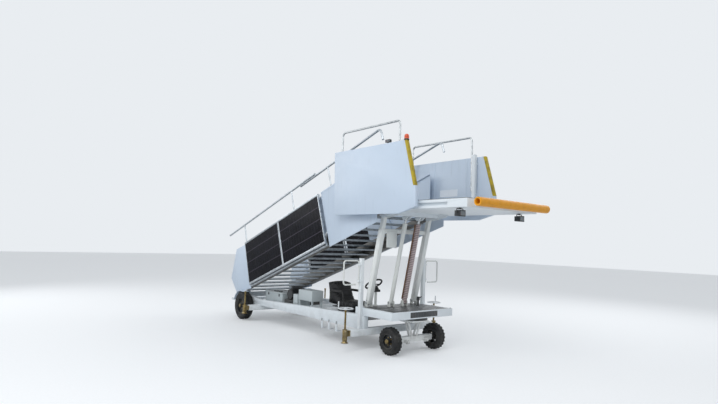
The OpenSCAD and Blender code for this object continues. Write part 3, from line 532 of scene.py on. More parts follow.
@dataclass(frozen=True)
class PaddedVinyl(Finish):
    """Leather-grained vinyl, dull in the pores and a little polished by use.

    Attributes:
        crease_mm: Size of the soft creases.
        crease_depth_mm: Depth of them.
        polish: Colour where it is polished.
    """

    crease_mm: float = 55.0
    crease_depth_mm: float = 1.6
    polish: str = "#17181b"

    def dress(self, tree: Tree, shader: bpy.types.Node, place: Socket) -> None:
        """Links the pebbled grain, the soft creases and the polish.

        Args:
            tree: Node tree of the material.
            shader: Principled shader.
            place: Object coordinates.
        """
        pebble = add_node(tree, "ShaderNodeTexVoronoi", {
            "Vector": place, "Scale": 1 / (self.grain_mm * MM)}, feature="F1").outputs["Distance"]
        crease = self.noise(tree, place, self.crease_mm, (1.0, 0.35, 1.0), 4)
        use = self.band(tree, self.noise(tree, place, 130), 0.35, 0.7, 0.0, 0.5)
        base = self.mix(tree, use, srgb(self.colour), srgb(self.polish))
        self.colour_link(tree, shader, place, base)
        self.roughness_link(tree, shader, pebble, (0.1, 0.7), 0.1, 0.12)
        self.grain_link(tree, shader, pebble, self.bump(tree, crease, self.crease_depth_mm))
        shader.inputs["Specular IOR Level"].default_value = 0.35


@dataclass(frozen=True)
class BrushedMetal(Finish):
    """Extruded or drawn metal, with fine lines along its length and dull patches.

    The real lines are about a tenth of a millimetre apart and wouldn't show at this distance,
    so they are drawn as coarse as grain_mm says.

    Attributes:
        along: Axis of the lines, as a share of each coordinate.
        turned: Angle that turns the coordinates about Y, for a sloping piece.
        tarnish: Colour of the dull patches and lines.
    """

    along: tuple[float, float, float] = (0.03, 1.0, 1.0)
    turned: float = 0.0
    tarnish: str = "#6f7274"

    def dress(self, tree: Tree, shader: bpy.types.Node, place: Socket) -> None:
        """Links the drawn lines and the tarnish.

        Args:
            tree: Node tree of the material.
            shader: Principled shader.
            place: Object coordinates.
        """
        turned = add_node(tree, "ShaderNodeMapping", {
            "Vector": place, "Rotation": (0, self.turned, 0)}).outputs[0]
        lines = self.noise(tree, turned, self.grain_mm, self.along, 4)
        patch = self.band(tree, self.noise(tree, place, 70, detail=5), 0.42, 0.7, 0.0, 0.4)
        tone = self.mix(tree, patch, srgb(self.colour), srgb(self.tarnish))
        lined = self.mix(tree, self.band(tree, lines, 0.35, 0.75, 0.0, 0.2), tone,
                         srgb(self.tarnish))
        self.colour_link(tree, shader, place, lined)
        self.roughness_link(tree, shader, lines, (0.3, 0.7), 0.08, 0.14)
        self.grain_link(tree, shader, lines)


@dataclass(frozen=True)
class SolarGlass(Finish):
    """Cover glass over black cells: thin bus wires across and pale gaps between the rows.

    The real gaps are 2 to 3 mm wide and the wires a few tenths of one. They are drawn wider,
    because they wouldn't show at the camera's distance.

    Attributes:
        row_mm: Height of a row of cells.
        cell_mm: Length of a half cell.
        wire_mm: Distance between bus wires.
        first_row_mm: How far the first row's gap lies below the flight's own axis.
        row_gap_mm: Drawn width of the gap between two rows.
        cell_gap_mm: Drawn width of the gap between two cells.
        wire_width_mm: Drawn width of a wire.
        line_colour: Colour of gaps and wires.
        cloud_colour: Colour that the cells cloud to.
    """

    row_mm: float = 225.0
    cell_mm: float = 91.0
    wire_mm: float = 18.2
    first_row_mm: float = 90.0
    row_gap_mm: float = 9.0
    cell_gap_mm: float = 4.0
    wire_width_mm: float = 1.6
    line_colour: str = "#4a4650"
    cloud_colour: str = "#10131d"

    def lines(self, tree: Tree, value: Socket, pitch_mm: float,
              width_mm: float) -> Socket:
        """One where a thin line of a regular set runs.

        Args:
            tree: Node tree of the material.
            value: Coordinate across the lines.
            pitch_mm: Distance between two lines.
            width_mm: Width of a line.

        Returns:
            One on the lines and zero between them.
        """
        away = self.times(tree, value, 0.5 * pitch_mm * MM, "PINGPONG")
        return self.band(tree, away, 0.5 * width_mm * MM, 0.9 * width_mm * MM, 1.0, 0.0)

    def dress(self, tree: Tree, shader: bpy.types.Node, place: Socket) -> None:
        """Links the cells, measured along and across the flight, and a film of dust.

        Args:
            tree: Node tree of the material.
            shader: Principled shader.
            place: Object coordinates.
        """
        local = add_node(tree, "ShaderNodeMapping", {
            "Vector": place, "Location": PIVOT, "Rotation": (0, -SLOPE, 0)},
            vector_type="TEXTURE").outputs[0]
        parts = add_node(tree, "ShaderNodeSeparateXYZ", {0: local})
        across = self.times(tree, parts.outputs["Z"], self.first_row_mm * MM, "ADD")
        rows = self.lines(tree, across, self.row_mm, self.row_gap_mm)
        cells = self.lines(tree, parts.outputs["X"], self.cell_mm, self.cell_gap_mm)
        wires = self.lines(tree, parts.outputs["X"], self.wire_mm, self.wire_width_mm)
        tone = self.band(tree, self.noise(tree, local, 160), 0.3, 0.7, 0.0, 0.5)
        cell = self.mix(tree, tone, srgb(self.colour), srgb(self.cloud_colour))
        wired = self.mix(tree, self.times(tree, wires, 0.35), cell, srgb(self.line_colour))
        faint = self.times(tree, cells, 0.35)
        gaps = self.times(tree, self.times(tree, rows, faint, "MAXIMUM"), 0.85)
        ruled = self.mix(tree, gaps, wired, srgb(self.line_colour))
        self.colour_link(tree, shader, place, ruled)
        self.roughness_link(tree, shader, self.noise(tree, place, 120), (0.3, 0.7), 0.06, 0.12)
        # Kept low, because the pale studio mirrored in the glass would wash out the black cells.
        shader.inputs["Specular IOR Level"].default_value = 0.06


@dataclass(frozen=True)
class MouldedRubber(Finish):
    """Rubber with a bloom of dust or chalk and a fine moulded grain.

    Attributes:
        bloom: Colour of the bloom.
        bloom_share: Strength of it.
    """

    bloom: str = "#4a4844"
    bloom_share: float = 0.35

    def dress(self, tree: Tree, shader: bpy.types.Node, place: Socket) -> None:
        """Links the bloom, the dust and the grain.

        Args:
            tree: Node tree of the material.
            shader: Principled shader.
            place: Object coordinates.
        """
        patch = self.band(tree, self.noise(tree, place, 90, detail=5), 0.4, 0.72, 0.0,
                          self.bloom_share)
        base = self.mix(tree, patch, srgb(self.colour), srgb(self.bloom))
        self.colour_link(tree, shader, place, base)
        self.roughness_link(tree, shader, self.noise(tree, place, 40), (0.3, 0.7), 0.08, 0.1)
        self.grain_link(tree, shader, self.noise(tree, place, self.grain_mm, detail=2))


@dataclass(frozen=True)
class RibbedSleeve(MouldedRubber):
    """Moulded sleeve with pale ribs, and painted shade at the bottom of the grooves between them.

    Attributes:
        foot: A point on the sleeve's axis where a rib starts.
        lean: Angle of the axis from upright, in the machine's side plane.
        pitch_mm: Distance between two ribs.
        groove: Colour of the shade painted at the bottom of a groove.
    """

    foot: tuple[float, float, float] = (0.0, 0.0, 0.0)
    lean: float = 0.0
    pitch_mm: float = 30.0
    groove: str = "#4d4143"

    def dress(self, tree: Tree, shader: bpy.types.Node, place: Socket) -> None:
        """Links the rubber, then paints shade into the grooves along the leaning axis.

        Args:
            tree: Node tree of the material.
            shader: Principled shader.
            place: Object coordinates.
        """
        super().dress(tree, shader, place)
        along = add_node(tree, "ShaderNodeMapping", {
            "Vector": place, "Location": self.foot, "Rotation": (0, self.lean, 0)},
            vector_type="TEXTURE").outputs[0]
        height = add_node(tree, "ShaderNodeSeparateXYZ", {0: along}).outputs["Z"]
        away = self.times(tree, height, 0.5 * self.pitch_mm * MM, "PINGPONG")
        # Painted shade: darkens the bottom of each groove between the ribs.
        groove_shade_share = self.band(tree, away, 0.2 * self.pitch_mm * MM, 0.4 * self.pitch_mm * MM, 0.0, 0.8)
        # rubbed holds the sleeve's plain colour, which the painted groove shade goes over.
        rubbed = shader.inputs["Base Color"].links[0].from_socket
        tree.links.new(self.mix(tree, groove_shade_share, rubbed, srgb(self.groove)),
                       shader.inputs["Base Color"])


@dataclass(frozen=True)
class ZincPlate(Finish):
    """Passivated zinc: a film that clouds, and is rubbed through to the bare metal.

    Attributes:
        clouds: Colour that the film clouds to.
        bare: Colour of the rubbed metal.
    """

    clouds: str = "#75623c"
    bare: str = "#b9b29d"

    def dress(self, tree: Tree, shader: bpy.types.Node, place: Socket) -> None:
        """Links the clouds of the film and the grime.

        Args:
            tree: Node tree of the material.
            shader: Principled shader.
            place: Object coordinates.
        """
        cloud = self.band(tree, self.noise(tree, place, 35, detail=5), 0.38, 0.65)
        film = self.mix(tree, cloud, srgb(self.colour), srgb(self.clouds))
        rubbed = self.band(tree, self.noise(tree, place, 80, detail=4), 0.58, 0.72, 0.0, 0.6)
        worn = self.mix(tree, rubbed, film, srgb(self.bare))
        self.colour_link(tree, shader, place, worn)
        self.roughness_link(tree, shader, self.noise(tree, place, 25), (0.3, 0.7), 0.1, 0.12)
        self.grain_link(tree, shader, self.noise(tree, place, self.grain_mm, detail=2))


@dataclass(frozen=True)
class LensPlastic(Finish):
    """Smooth coloured plastic or lamp glass, a little lit from inside itself."""

    def dress(self, tree: Tree, shader: bpy.types.Node, place: Socket) -> None:
        """Links the colour and a faint haze; the depth comes from subsurface light.

        Args:
            tree: Node tree of the material.
            shader: Principled shader.
            place: Object coordinates.
        """
        haze = self.band(tree, self.noise(tree, place, 30), 0.35, 0.7, 0.0, 0.15)
        tree.links.new(self.mix(tree, haze, srgb(self.colour), srgb(self.dust_colour)),
                       shader.inputs["Base Color"])
        shader.inputs["Roughness"].default_value = self.roughness
        for socket, value in (("Subsurface Weight", 0.35), ("Subsurface Scale", 0.01),
                              ("Coat Weight", 0.5), ("Coat Roughness", 0.05)):
            shader.inputs[socket].default_value = value


# A rib of the ribbed barrel starts at this point of its axis, close to the pin at its foot,
# and the axis leans at rest by its run over its rise.
SLEEVE_FOOT = from_datum(-0.4305, 0.155, 0.7596)
SLEEVE_LEAN = math.atan2(0.315, 1.438)
# Sprayed white enamel on large sheets: half gloss, with long soft waves, tinted darker and cool
# blue-grey as painted sky-lit shade.
WHITE_SHEET = PaintedSteel("Sprayed white paint on sheet steel", "#c3d1e1", 0.44)
# Sprayed enamel on welded section: glossier than the sheets and paler, as it lacks their painted
# shade, with rain runs.
WHITE_FRAME = PaintedSteel("White paint on welded box section", "#dde4e9", 0.38, dust=0.2,
                           streaks=0.08)
# The same enamel, aged on small tube: a warmer white with more grime.
CREAM_FRAME = PaintedSteel("Off-white paint on square tube", "#dbdedb", 0.4, dust=0.25,
                           streak_colour="#8b8a80")
# The same white enamel on the cross beams and gate posts, made lighter as painted light: the
# brightest white of the machine.
LIT_OUTRIGGER_WHITE = PaintedSteel("Bright white paint on box section", "#e4e9ec", 0.36,
                               dust=0.25)
# Enamel on the sliding legs: bright, with brown-grey runs.
LEG_PAINT = PaintedSteel("White paint on square tube", "#e6e9e7", 0.38, dust=0.2,
                         streak_colour="#97988f")
# Enamel close to the road: dull from spray, with brown dust.
DOLLY_PAINT = PaintedSteel("Off-white paint low on the dolly", "#e2e4e3", 0.42, dust=0.3,
                           dust_colour="#7f7970")
# A clean enamelled plate: paler than the sheet round it.
BARE_PLATE = PaintedSteel("Bare pale plate", "#dfe7f0", 0.42, dust=0.05)
# Enamel on a smooth casting: a glint all round where hands keep it clean.
WHEEL_PAINT = PaintedSteel("White paint on a cast handwheel", "#d9dde0", 0.36, dust=0.15)
# Hot rolled checker plate: dark scale and dirt, with lozenges that soles have rubbed pale.
CHECKER = CheckerPlate("Dark checker plate", "#3b3f42", 0.38, dust=0.3,
                       dust_colour="#6f6c67", streak_colour="#504d49")
# Calendered vinyl over foam: near black, dull in the grain, with a soft sheen on the rolls.
SEAT_VINYL = PaddedVinyl("Black grained vinyl", "#0b0c0e", 0.5, grain_mm=2.2,
                         grain_depth_mm=0.25, dust=0.25)
# Satin enamel on steel: black without a mirror, so dust and edges show its shape.
BLACK_STEEL = PaintedSteel("Black satin paint on steel", "#17181a", 0.45, dust=0.3)
# Satin enamel on sheet steel boxes: an even pale grey that stands off from the whites.
GREY_BOX = PaintedSteel("Grey satin paint on sheet steel", "#bac3c6", 0.42, dust=0.3)
# Primed folded steel: dull grey, streaked with brown dirt.
STAIR_STEEL = PaintedSteel("Grey primer on folded steel", "#716e69", 0.5, dust=0.3,
                           streak_colour="#4a4540", streaks=0.5)
# Electroplated zinc, passivated yellow: dull gold that clouds to brown.
ZINC = ZincPlate("Yellow zinc on steel", "#9c8a5e", 0.42, 1.0, 3.0, 0.05, 0.25)
# Electroplated zinc, passivated clear: pale silver, so that bolt heads glint.
BRIGHT_ZINC = ZincPlate("Bright zinc on steel fasteners", "#b7babd", 0.4, 1.0, 3.0, 0.04,
                        clouds="#8c8f92", bare="#d5d7d8")
# Extruded, anodised aluminium: pale, with fine lines up the slope of the flight.
ALUMINIUM = BrushedMetal("Extruded aluminium along the flight", "#bfc5ca", 0.34, 1.0, 1.5,
                         0.006, 0.1, turned=SLOPE)
# Rolled aluminium treads: duller from soles, with lines across the machine.
ALUMINIUM_ACROSS = BrushedMetal("Aluminium tread plate", "#aeb6bd", 0.5, 1.0, 1.5, 0.012,
                                0.3, along=(1.0, 0.03, 1.0))
# Drawn aluminium tube: the brightest of the three, with upright lines.
ALUMINIUM_POST = BrushedMetal("Aluminium tube", "#c6cacc", 0.32, 1.0, 1.5, 0.004, 0.1,
                              along=(1.0, 1.0, 0.03))
# Tempered glass over black cells: near black, with a low sheen and thin pale lines.
PANEL_GLASS = SolarGlass("Solar glass over black cells", "#05060b", 0.18, dust=0.08)
# Vulcanised rubber with carbon black: very dull, with road dust in its grain.
TYRE = MouldedRubber("Tyre rubber", "#111214", 0.72, grain_mm=2.0, grain_depth_mm=0.12,
                     dust=0.22, dust_colour="#5c5954", bloom="#2c2c2d", bloom_share=0.3)
# Compression moulded rubber: dull black with a soft sheen where it is held.
BLACK_RUBBER = MouldedRubber("Black moulded rubber", "#161618", 0.62, grain_mm=1.5,
                             grain_depth_mm=0.05)
# Extruded hollow rubber, dyed through: warm orange-yellow, matt, browner where it chalks.
BUMPER_RUBBER = MouldedRubber("Orange-yellow hollow rubber", "#e39b10", 0.5, grain_mm=3.0,
                              grain_depth_mm=0.08, bloom="#bf7d12", bloom_share=0.35)
# Extruded edge rubber: yellow, rubbed dark by knocks.
STRIP_RUBBER = MouldedRubber("Worn yellow edge rubber", "#b8a11e", 0.6, grain_mm=2.0,
                             grain_depth_mm=0.06, bloom="#5f5a34", bloom_share=0.6)
# Moulded sleeve: pale pinkish ribs, with painted shade in the grooves between them.
COLUMN_SLEEVE = RibbedSleeve("Ribbed sleeve", "#cdbcbc", 0.6, grain_mm=2.0,
                             grain_depth_mm=0.05, bloom="#9c8b8b", bloom_share=0.3,
                             foot=tuple(SLEEVE_FOOT), lean=SLEEVE_LEAN)
# Moulded acrylic: clear orange that seems lit a little from inside.
BEACON_LENS = LensPlastic("Orange acrylic lens", "#e0551c", 0.16)
# Glass over a dark bowl: grey with a hard glint.
CLEAR_LENS = LensPlastic("Clear lamp glass over a dark bowl", "#656c72", 0.1)
# Moulded ABS cap: brown-gold and smooth, with a soft glint.
HUB_CAP = LensPlastic("Brown-gold hub cap", "#94501f", 0.35)
# Enamel on drawn pipe: brown, half gloss, with darker runs.
PIPE_PAINT = PaintedSteel("Brown paint on drawn pipe", "#6a4a33", 0.45, dust=0.2,
                          streak_colour="#4c3a2e")
# Ground hard chrome: nearly a mirror, drawn out along the rod by its finest lines.
CHROME = BrushedMetal("Hard chrome on a ground rod", "#cfd2d4", 0.12, 1.0, 0.8, 0.005, 0.05,
                      along=(1.0, 1.0, 0.05), tarnish="#9b9fa2")

# A node that a piece replaces further on is dressed here as well, but isn't seen.
NODE_FINISHES: dict[Finish, list[str]] = {
    WHITE_SHEET: ["side_panels", "upper_side_sheets", "lower_end_sheets", "mudguards"],
    WHITE_FRAME: ["side_beams", "cross_beams", "rear_axle", "rear_entry_step", "side_steps",
                  "deck_frame", "platform_frame", "dolly_frame"],
    CREAM_FRAME: ["gate_loop_left", "gate_loop_right", "lift_clevises",
                  "leg_outers", "leg_inners", "cylinder_barrel", "steering_column"],
    LIT_OUTRIGGER_WHITE: ["gate_posts"],
    CHECKER: ["deck_plates", "platform_floor"],
    BLACK_STEEL: ["slewing_ring", "seat_base", "power_pack", "platform_lamps",
                  "steering_console", "valve_stand",
                  "front_rim_left", "front_rim_right", "rear_rim_left", "rear_rim_right"],
    ZINC: ["jack_sleeves", "jack_front_left", "jack_front_right", "jack_rear_left",
           "jack_rear_right"],
    GREY_BOX: ["battery_box", "equipment_boxes"],
    BLACK_RUBBER: ["driver_seat", "steering_wheel"],
    TYRE: ["front_tyre_left", "front_tyre_right", "rear_tyre_left", "rear_tyre_right"],
    STAIR_STEEL: ["lower_stringers", "upper_stringers"],
    ALUMINIUM: ["pv_side_frames", "lower_handrails", "upper_handrails"],
    ALUMINIUM_ACROSS: ["lower_treads", "upper_treads"],
    ALUMINIUM_POST: ["rail_frames"],
    PANEL_GLASS: ["pv_panels"],
    STRIP_RUBBER: ["edge_strips"],
    BUMPER_RUBBER: ["bumper"],
    BEACON_LENS: ["beacon"],
    COLUMN_SLEEVE: ["ribbed_barrel"],
    PIPE_PAINT: ["feed_pipe"],
    CHROME: ["cylinder_rods"],
}


def dress_frame() -> None:
    """Gives every node of the frame its finish."""
    for finish, nodes in NODE_FINISHES.items():
        for name in nodes:
            mesh = frame["nodes"][name].data
            mesh.materials.clear()
            mesh.materials.append(finish.material())
    LOG.info("dressed %d nodes", sum(len(nodes) for nodes in NODE_FINISHES.values()))


# Studio


@dataclass
class Studio:
    """Floor, lamps, world and the camera at the photograph's viewing angle.

    Attributes:
        eye: Where the camera stands.
        yaw, pitch, roll: The camera's turn in degrees.
        lens_mm: Focal length on the camera's sensor.
        sensor_mm: Width of that sensor.
        floor_size: Side of the floor.
        floor_colour: Colour of the floor.
        sky_colour: Colour of the backdrop and of the light all round.
        ambient: Strength of that light.
    """

    eye: Vector
    yaw: float = 140.744
    pitch: float = 4.470
    roll: float = 1.9195
    lens_mm: float = 25.845
    sensor_mm: float = 36
    floor_size: float = 90.0
    floor_colour: str = "#e6e8ea"
    sky_colour: str = "#e9edf1"
    ambient: float = 0.68

    def camera(self) -> None:
        """Makes the camera and its turn from the three angles."""
        yaw, pitch, roll = (math.radians(a) for a in (self.yaw, self.pitch, self.roll))
        ahead = Vector((math.cos(pitch) * math.cos(yaw), math.cos(pitch) * math.sin(yaw),
                        math.sin(pitch)))
        level = ahead.cross(UP).normalized()
        above = level.cross(ahead)
        right = math.cos(roll) * level + math.sin(roll) * above
        up = -math.sin(roll) * level + math.cos(roll) * above
        turn = Matrix((right, up, -ahead)).transposed().to_4x4()
        bpy.ops.object.camera_add()
        camera = bpy.context.object
        camera.name = "Photo camera"
        camera.matrix_world = Matrix.Translation(self.eye) @ turn
        camera.data.lens = self.lens_mm
        camera.data.sensor_width = self.sensor_mm
        camera.data.clip_end = 300
        bpy.context.scene.camera = camera

    def floor(self) -> None:
        """Lays the pale floor."""
        bpy.ops.mesh.primitive_plane_add(size=self.floor_size)
        plane = bpy.context.object
        plane.name = "Floor"
        finish = StudioFloor("Pale studio floor", self.floor_colour, 0.85)
        plane.data.materials.append(finish.material())

    def lamp(self, name: str, place: Vector, aim: Vector, size: float, watts: float) -> None:
        """Adds one soft area lamp.

        Args:
            name: Name of the lamp.
            place: Where it hangs.
            aim: Point that it faces.
            size: Side of its square.
            watts: Its power.
        """
        turn = (aim - place).to_track_quat("-Z", "Y").to_euler()
        bpy.ops.object.light_add(type="AREA", location=place, rotation=turn)
        made = bpy.context.object
        made.name = name
        made.data.size = size
        made.data.energy = watts

    def world(self) -> None:
        """Soft pale light all round, and a pale backdrop for the camera and reflections."""
        world = bpy.data.worlds.new("Pale studio")
        bpy.context.scene.world = world
        world.use_nodes = True
        tree = world.node_tree
        shown = add_node(tree, "ShaderNodeBackground", {
            "Color": srgb(self.sky_colour), "Strength": 1.0})
        lit = add_node(tree, "ShaderNodeBackground", {
            "Color": srgb(self.sky_colour), "Strength": self.ambient})
        path = add_node(tree, "ShaderNodeLightPath")
        seen = path.outputs["Is Camera Ray"]
        for ray in ("Is Glossy Ray", "Is Transmission Ray"):
            seen = add_node(tree, "ShaderNodeMath", {0: seen, 1: path.outputs[ray]},
                            operation="MAXIMUM").outputs[0]
        blend = add_node(tree, "ShaderNodeMixShader", {
            0: seen, 1: lit.outputs[0], 2: shown.outputs[0]})
        tree.links.new(blend.outputs[0], tree.nodes["World Output"].inputs["Surface"])

    def build(self) -> None:
        """Sets up the whole studio."""
        deselect()
        self.camera()
        self.floor()
        middle = Vector((0, 0, 1.2))
        self.lamp("Key lamp", Vector((5.5, -8.5, 8.0)), middle, 7.0, 500)
        self.lamp("Fill lamp", Vector((-9.0, -6.0, 5.5)), middle, 6.0, 190)
        self.lamp("Rim lamp", Vector((1.0, 9.0, 7.5)), middle, 6.0, 240)
        self.world()
        bpy.context.scene.view_settings.view_transform = "Standard"


# Modelling helpers


def deselect() -> None:
    """Leaves edit mode and selects nothing."""
    if bpy.context.object and bpy.context.object.mode != "OBJECT":
        bpy.ops.object.mode_set(mode="OBJECT")
    bpy.ops.object.select_all(action="DESELECT")


def lone(piece: Piece) -> None:
    """Selects one piece alone and makes it the active one.

    Args:
        piece: The piece.
    """
    deselect()
    piece.select_set(True)
    bpy.context.view_layer.objects.active = piece


def stand(piece: Piece, place: Matrix) -> Piece:
    """Moves a piece from its own origin to its place, and writes the place into its mesh.

    Args:
        piece: The modelled object.
        place: Its turn and its place in the frame's axes.

    Returns:
        The same object.
    """
    lone(piece)
    piece.matrix_world = place @ piece.matrix_world
    bpy.ops.object.transform_apply(location=True, rotation=True, scale=True)
    if place.determinant() < 0:
        pick(piece, lambda face: True)
        bpy.ops.mesh.flip_normals()
        deselect()
    return piece


def facing(centre: Vector, axis: Vector) -> Matrix:
    """The place at a point, with a piece's own Z axis along the given one."""
    return Matrix.Translation(centre) @ axis.to_track_quat("Z", "Y").to_matrix().to_4x4()


def block(low: tuple | Vector, high: tuple | Vector) -> Piece:
    """Cube primitive between two corners, to be shaped further.

    Args:
        low: Lowest corner.
        high: Highest corner.

    Returns:
        The new object, with its place in its mesh.
    """
    low, high = Vector(low), Vector(high)
    deselect()
    bpy.ops.mesh.primitive_cube_add(size=1, location=(low + high) / 2, scale=high - low)
    made = bpy.context.object
    bpy.ops.object.transform_apply(location=True, rotation=True, scale=True)
    return made


def turned(profile: list[tuple[float, float]], sides: int = 48,
           hollow: bool = False) -> Piece:
    """A turned shape about Z, raised ring by ring from a disc by extruding and scaling.

    Args:
        profile: Radius and height of each ring.
        sides: Corners of a ring.
        hollow: Whether the first and last rings are bridged instead of capped.

    Returns:
        The new object.
    """
    deselect()
    first, height = profile[0]
    bpy.ops.mesh.primitive_circle_add(vertices=sides, radius=first, fill_type="NGON",
                                      location=(0, 0, height))
    made = bpy.context.object
    bpy.ops.object.transform_apply(location=True, rotation=True, scale=True)
    bpy.ops.object.mode_set(mode="EDIT")
    bpy.ops.mesh.select_mode(type="FACE")
    bpy.ops.mesh.select_all(action="SELECT")
    for (last, low), (radius, high) in zip(profile, profile[1:]):
        bpy.ops.mesh.extrude_region_move(TRANSFORM_OT_translate={"value": (0, 0, high - low)})
        share = radius / last
        bpy.ops.transform.resize(value=(share, share, 1), center_override=(0, 0, high))
    if hollow:
        pick(made, lambda face: len(face.verts) == sides)
        bpy.ops.mesh.delete(type="ONLY_FACE")
        mesh = bmesh.from_edit_mesh(made.data)
        bpy.ops.mesh.select_mode(type="EDGE")
        for edge in mesh.edges:
            edge.select_set(edge.is_boundary)
        bmesh.update_edit_mesh(made.data)
        bpy.ops.mesh.bridge_edge_loops()
    bpy.ops.mesh.select_all(action="SELECT")
    bpy.ops.mesh.normals_make_consistent(inside=False)
    deselect()
    return made


def tube(points: list[Vector], radius: float, bend: float = 0.03) -> Piece:
    """A bent tube through points, with rounded corners.

    Args:
        points: Corners of its path.
        radius: Radius of the tube.
        bend: How far before and after a corner the bend runs.

    Returns:
        The tube as a mesh.
    """
    path = [points[0]]
    for before, corner, after in zip(points, points[1:], points[2:]):
        start = corner + (before - corner).normalized() * bend
        end = corner + (after - corner).normalized() * bend
        for step in range(7):
            share = step / 6
            path.append(start.lerp(corner, share).lerp(corner.lerp(end, share), share))
    path.append(points[-1])
    curve = bpy.data.curves.new("Path", "CURVE")
    curve.dimensions = "3D"
    spline = curve.splines.new("POLY")
    spline.points.add(len(path) - 1)
    for point, place in zip(spline.points, path):
        point.co = (*place, 1)
    curve.bevel_depth = radius
    curve.bevel_resolution = 4
    curve.use_fill_caps = True
    made = bpy.data.objects.new("Tube", curve)
    bpy.context.scene.collection.objects.link(made)
    lone(made)
    bpy.ops.object.convert(target="MESH")
    return bpy.context.object


def pick(piece: Piece, wanted: Callable[[bmesh.types.BMFace], bool]) -> int:
    """Enters edit mode with just the wanted faces of a piece selected.

    Args:
        piece: The piece.
        wanted: Test of a face by its place or normal.

    Returns:
        How many faces are selected.
    """
    lone(piece)
    bpy.ops.object.mode_set(mode="EDIT")
    bpy.ops.mesh.select_mode(type="FACE")
    bpy.ops.mesh.select_all(action="DESELECT")
    mesh = bmesh.from_edit_mesh(piece.data)
    mesh.normal_update()
    found = [face for face in mesh.faces if wanted(face)]
    for face in found:
        face.select_set(True)
    bmesh.update_edit_mesh(piece.data)
    return len(found)


def recess(piece: Piece, out: Vector, lip: float, depth: float) -> None:
    """Insets the faces that look one way, moves them inwards and leaves them selected.

    Args:
        piece: The piece.
        out: Direction that the faces look in.
        lip: Width of the rim that stays.
        depth: How far they move in, or out if it is below zero.
    """
    pick(piece, lambda face: face.normal.dot(out) > 0.9)
    bpy.ops.mesh.inset(thickness=lip)
    bpy.ops.transform.translate(value=-out * depth)


def modify(piece: Piece, kind: str, **settings: object) -> Piece:
    """Adds a modifier with its settings and applies it.

    Args:
        piece: The piece.
        kind: Type of the modifier.
        settings: Its properties.

    Returns:
        The same object.
    """
    lone(piece)
    made = piece.modifiers.new(kind.title(), kind)
    for name, value in settings.items():
        setattr(made, name, value)
    bpy.ops.object.modifier_apply(modifier=made.name)
    return piece


def roll_edges(piece: Piece, width: float, segments: int = 2) -> Piece:
    """Rounds the sharp edges of a piece and shades it smooth between them.

    Args:
        piece: The piece.
        width: Width of the rounding.
        segments: Its steps.

    Returns:
        The same object.
    """
    modify(piece, "BEVEL", width=width, segments=segments, limit_method="ANGLE",
           angle_limit=math.radians(32), use_clamp_overlap=True)
    return shade(piece)


def shade(piece: Piece, angle: float = 34) -> Piece:
    """Shades a piece smooth where its faces meet at less than an angle.

    Args:
        piece: The piece.
        angle: The angle in degrees.

    Returns:
        The same object.
    """
    lone(piece)
    bpy.ops.object.shade_smooth_by_angle(angle=math.radians(angle))
    return piece


def on_both_sides(piece: Piece) -> Piece:
    """Adds the mirror image of a piece across the machine's middle."""
    return modify(piece, "MIRROR", use_axis=(False, True, False), use_mirror_merge=False)


def copies(piece: Piece, places: list[Matrix]) -> Piece:
    """Copies of a piece at several places, each with its own mesh, joined into one.

    Args:
        piece: The piece at its own origin, which is used up.
        places: Turn and place of each copy.

    Returns:
        The joined object.
    """
    made = []
    for place in places:
        twin = bpy.data.objects.new(piece.name, piece.data.copy())
        bpy.context.scene.collection.objects.link(twin)
        twin.matrix_world = place
        made.append(twin)
    bpy.data.objects.remove(piece)
    return join(made)


def join(pieces: list[Piece]) -> Piece:
    """Joins pieces into the first one, with their places in the mesh.

    Args:
        pieces: The pieces.

    Returns:
        The joined object.
    """
    deselect()
    for piece in pieces:
        piece.select_set(True)
    bpy.context.view_layer.objects.active = pieces[0]
    bpy.ops.object.transform_apply(location=True, rotation=True, scale=True)
    if len(pieces) > 1:
        bpy.ops.object.join()
    return bpy.context.object


def settle(piece: Piece, name: str, finish: Finish, body: str) -> Piece:
    """Finishes a piece: it gets its material and rides on its body.

    Args:
        piece: The modelled object.
        name: Plain name of the piece.
        finish: What it is made of.
        body: Body that carries it.

    Returns:
        The same object.
    """
    lone(piece)
    bpy.ops.object.transform_apply(location=True, rotation=True, scale=True)
    piece.name = name
    if not piece.data.materials:
        piece.data.materials.append(finish.material())
    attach(piece, body)
    LOG.info("%s: %d faces", name, len(piece.data.polygons))
    return piece


def body_of(node: str) -> str:
    """Name of the body that carries a node."""
    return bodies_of(frame["nodes"][node])[0]


def softened(node: str, name: str, finish: Finish, edge_mm: float = 2.5) -> Piece:
    """A copy of a node whose sharp edges are rolled as on the real piece.

    Args:
        node: Node of the frame that the copy stands for.
        name: Plain name of the piece.
        finish: What it is made of.
        edge_mm: Width of the rolled edges.

    Returns:
        The finished piece.
    """
    mesh = frame["nodes"][node].data.copy()
    mesh.materials.clear()
    piece = bpy.data.objects.new(name, mesh)
    bpy.context.scene.collection.objects.link(piece)
    pick(piece, lambda face: True)
    bpy.ops.mesh.remove_doubles(threshold=0.00005)
    bpy.ops.mesh.dissolve_limited(angle_limit=math.radians(0.6))
    roll_edges(piece, edge_mm * MM)
    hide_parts(node)
    return settle(piece, name, finish, body_of(node))


# Sub-assemblies


@dataclass
class WeldedStructure:
    """Beams, sheets and boxes of the machine, with the rolled edges of folded and ground steel.

    Attributes:
        edge_mm: Usual width of a rolled edge.
    """

    edge_mm: float = 2.5

    def build(self) -> None:
        """Makes every welded and folded piece."""
        for node, (name, finish, edge_mm) in WELDED_PIECES.items():
            softened(node, name, finish, edge_mm or self.edge_mm)


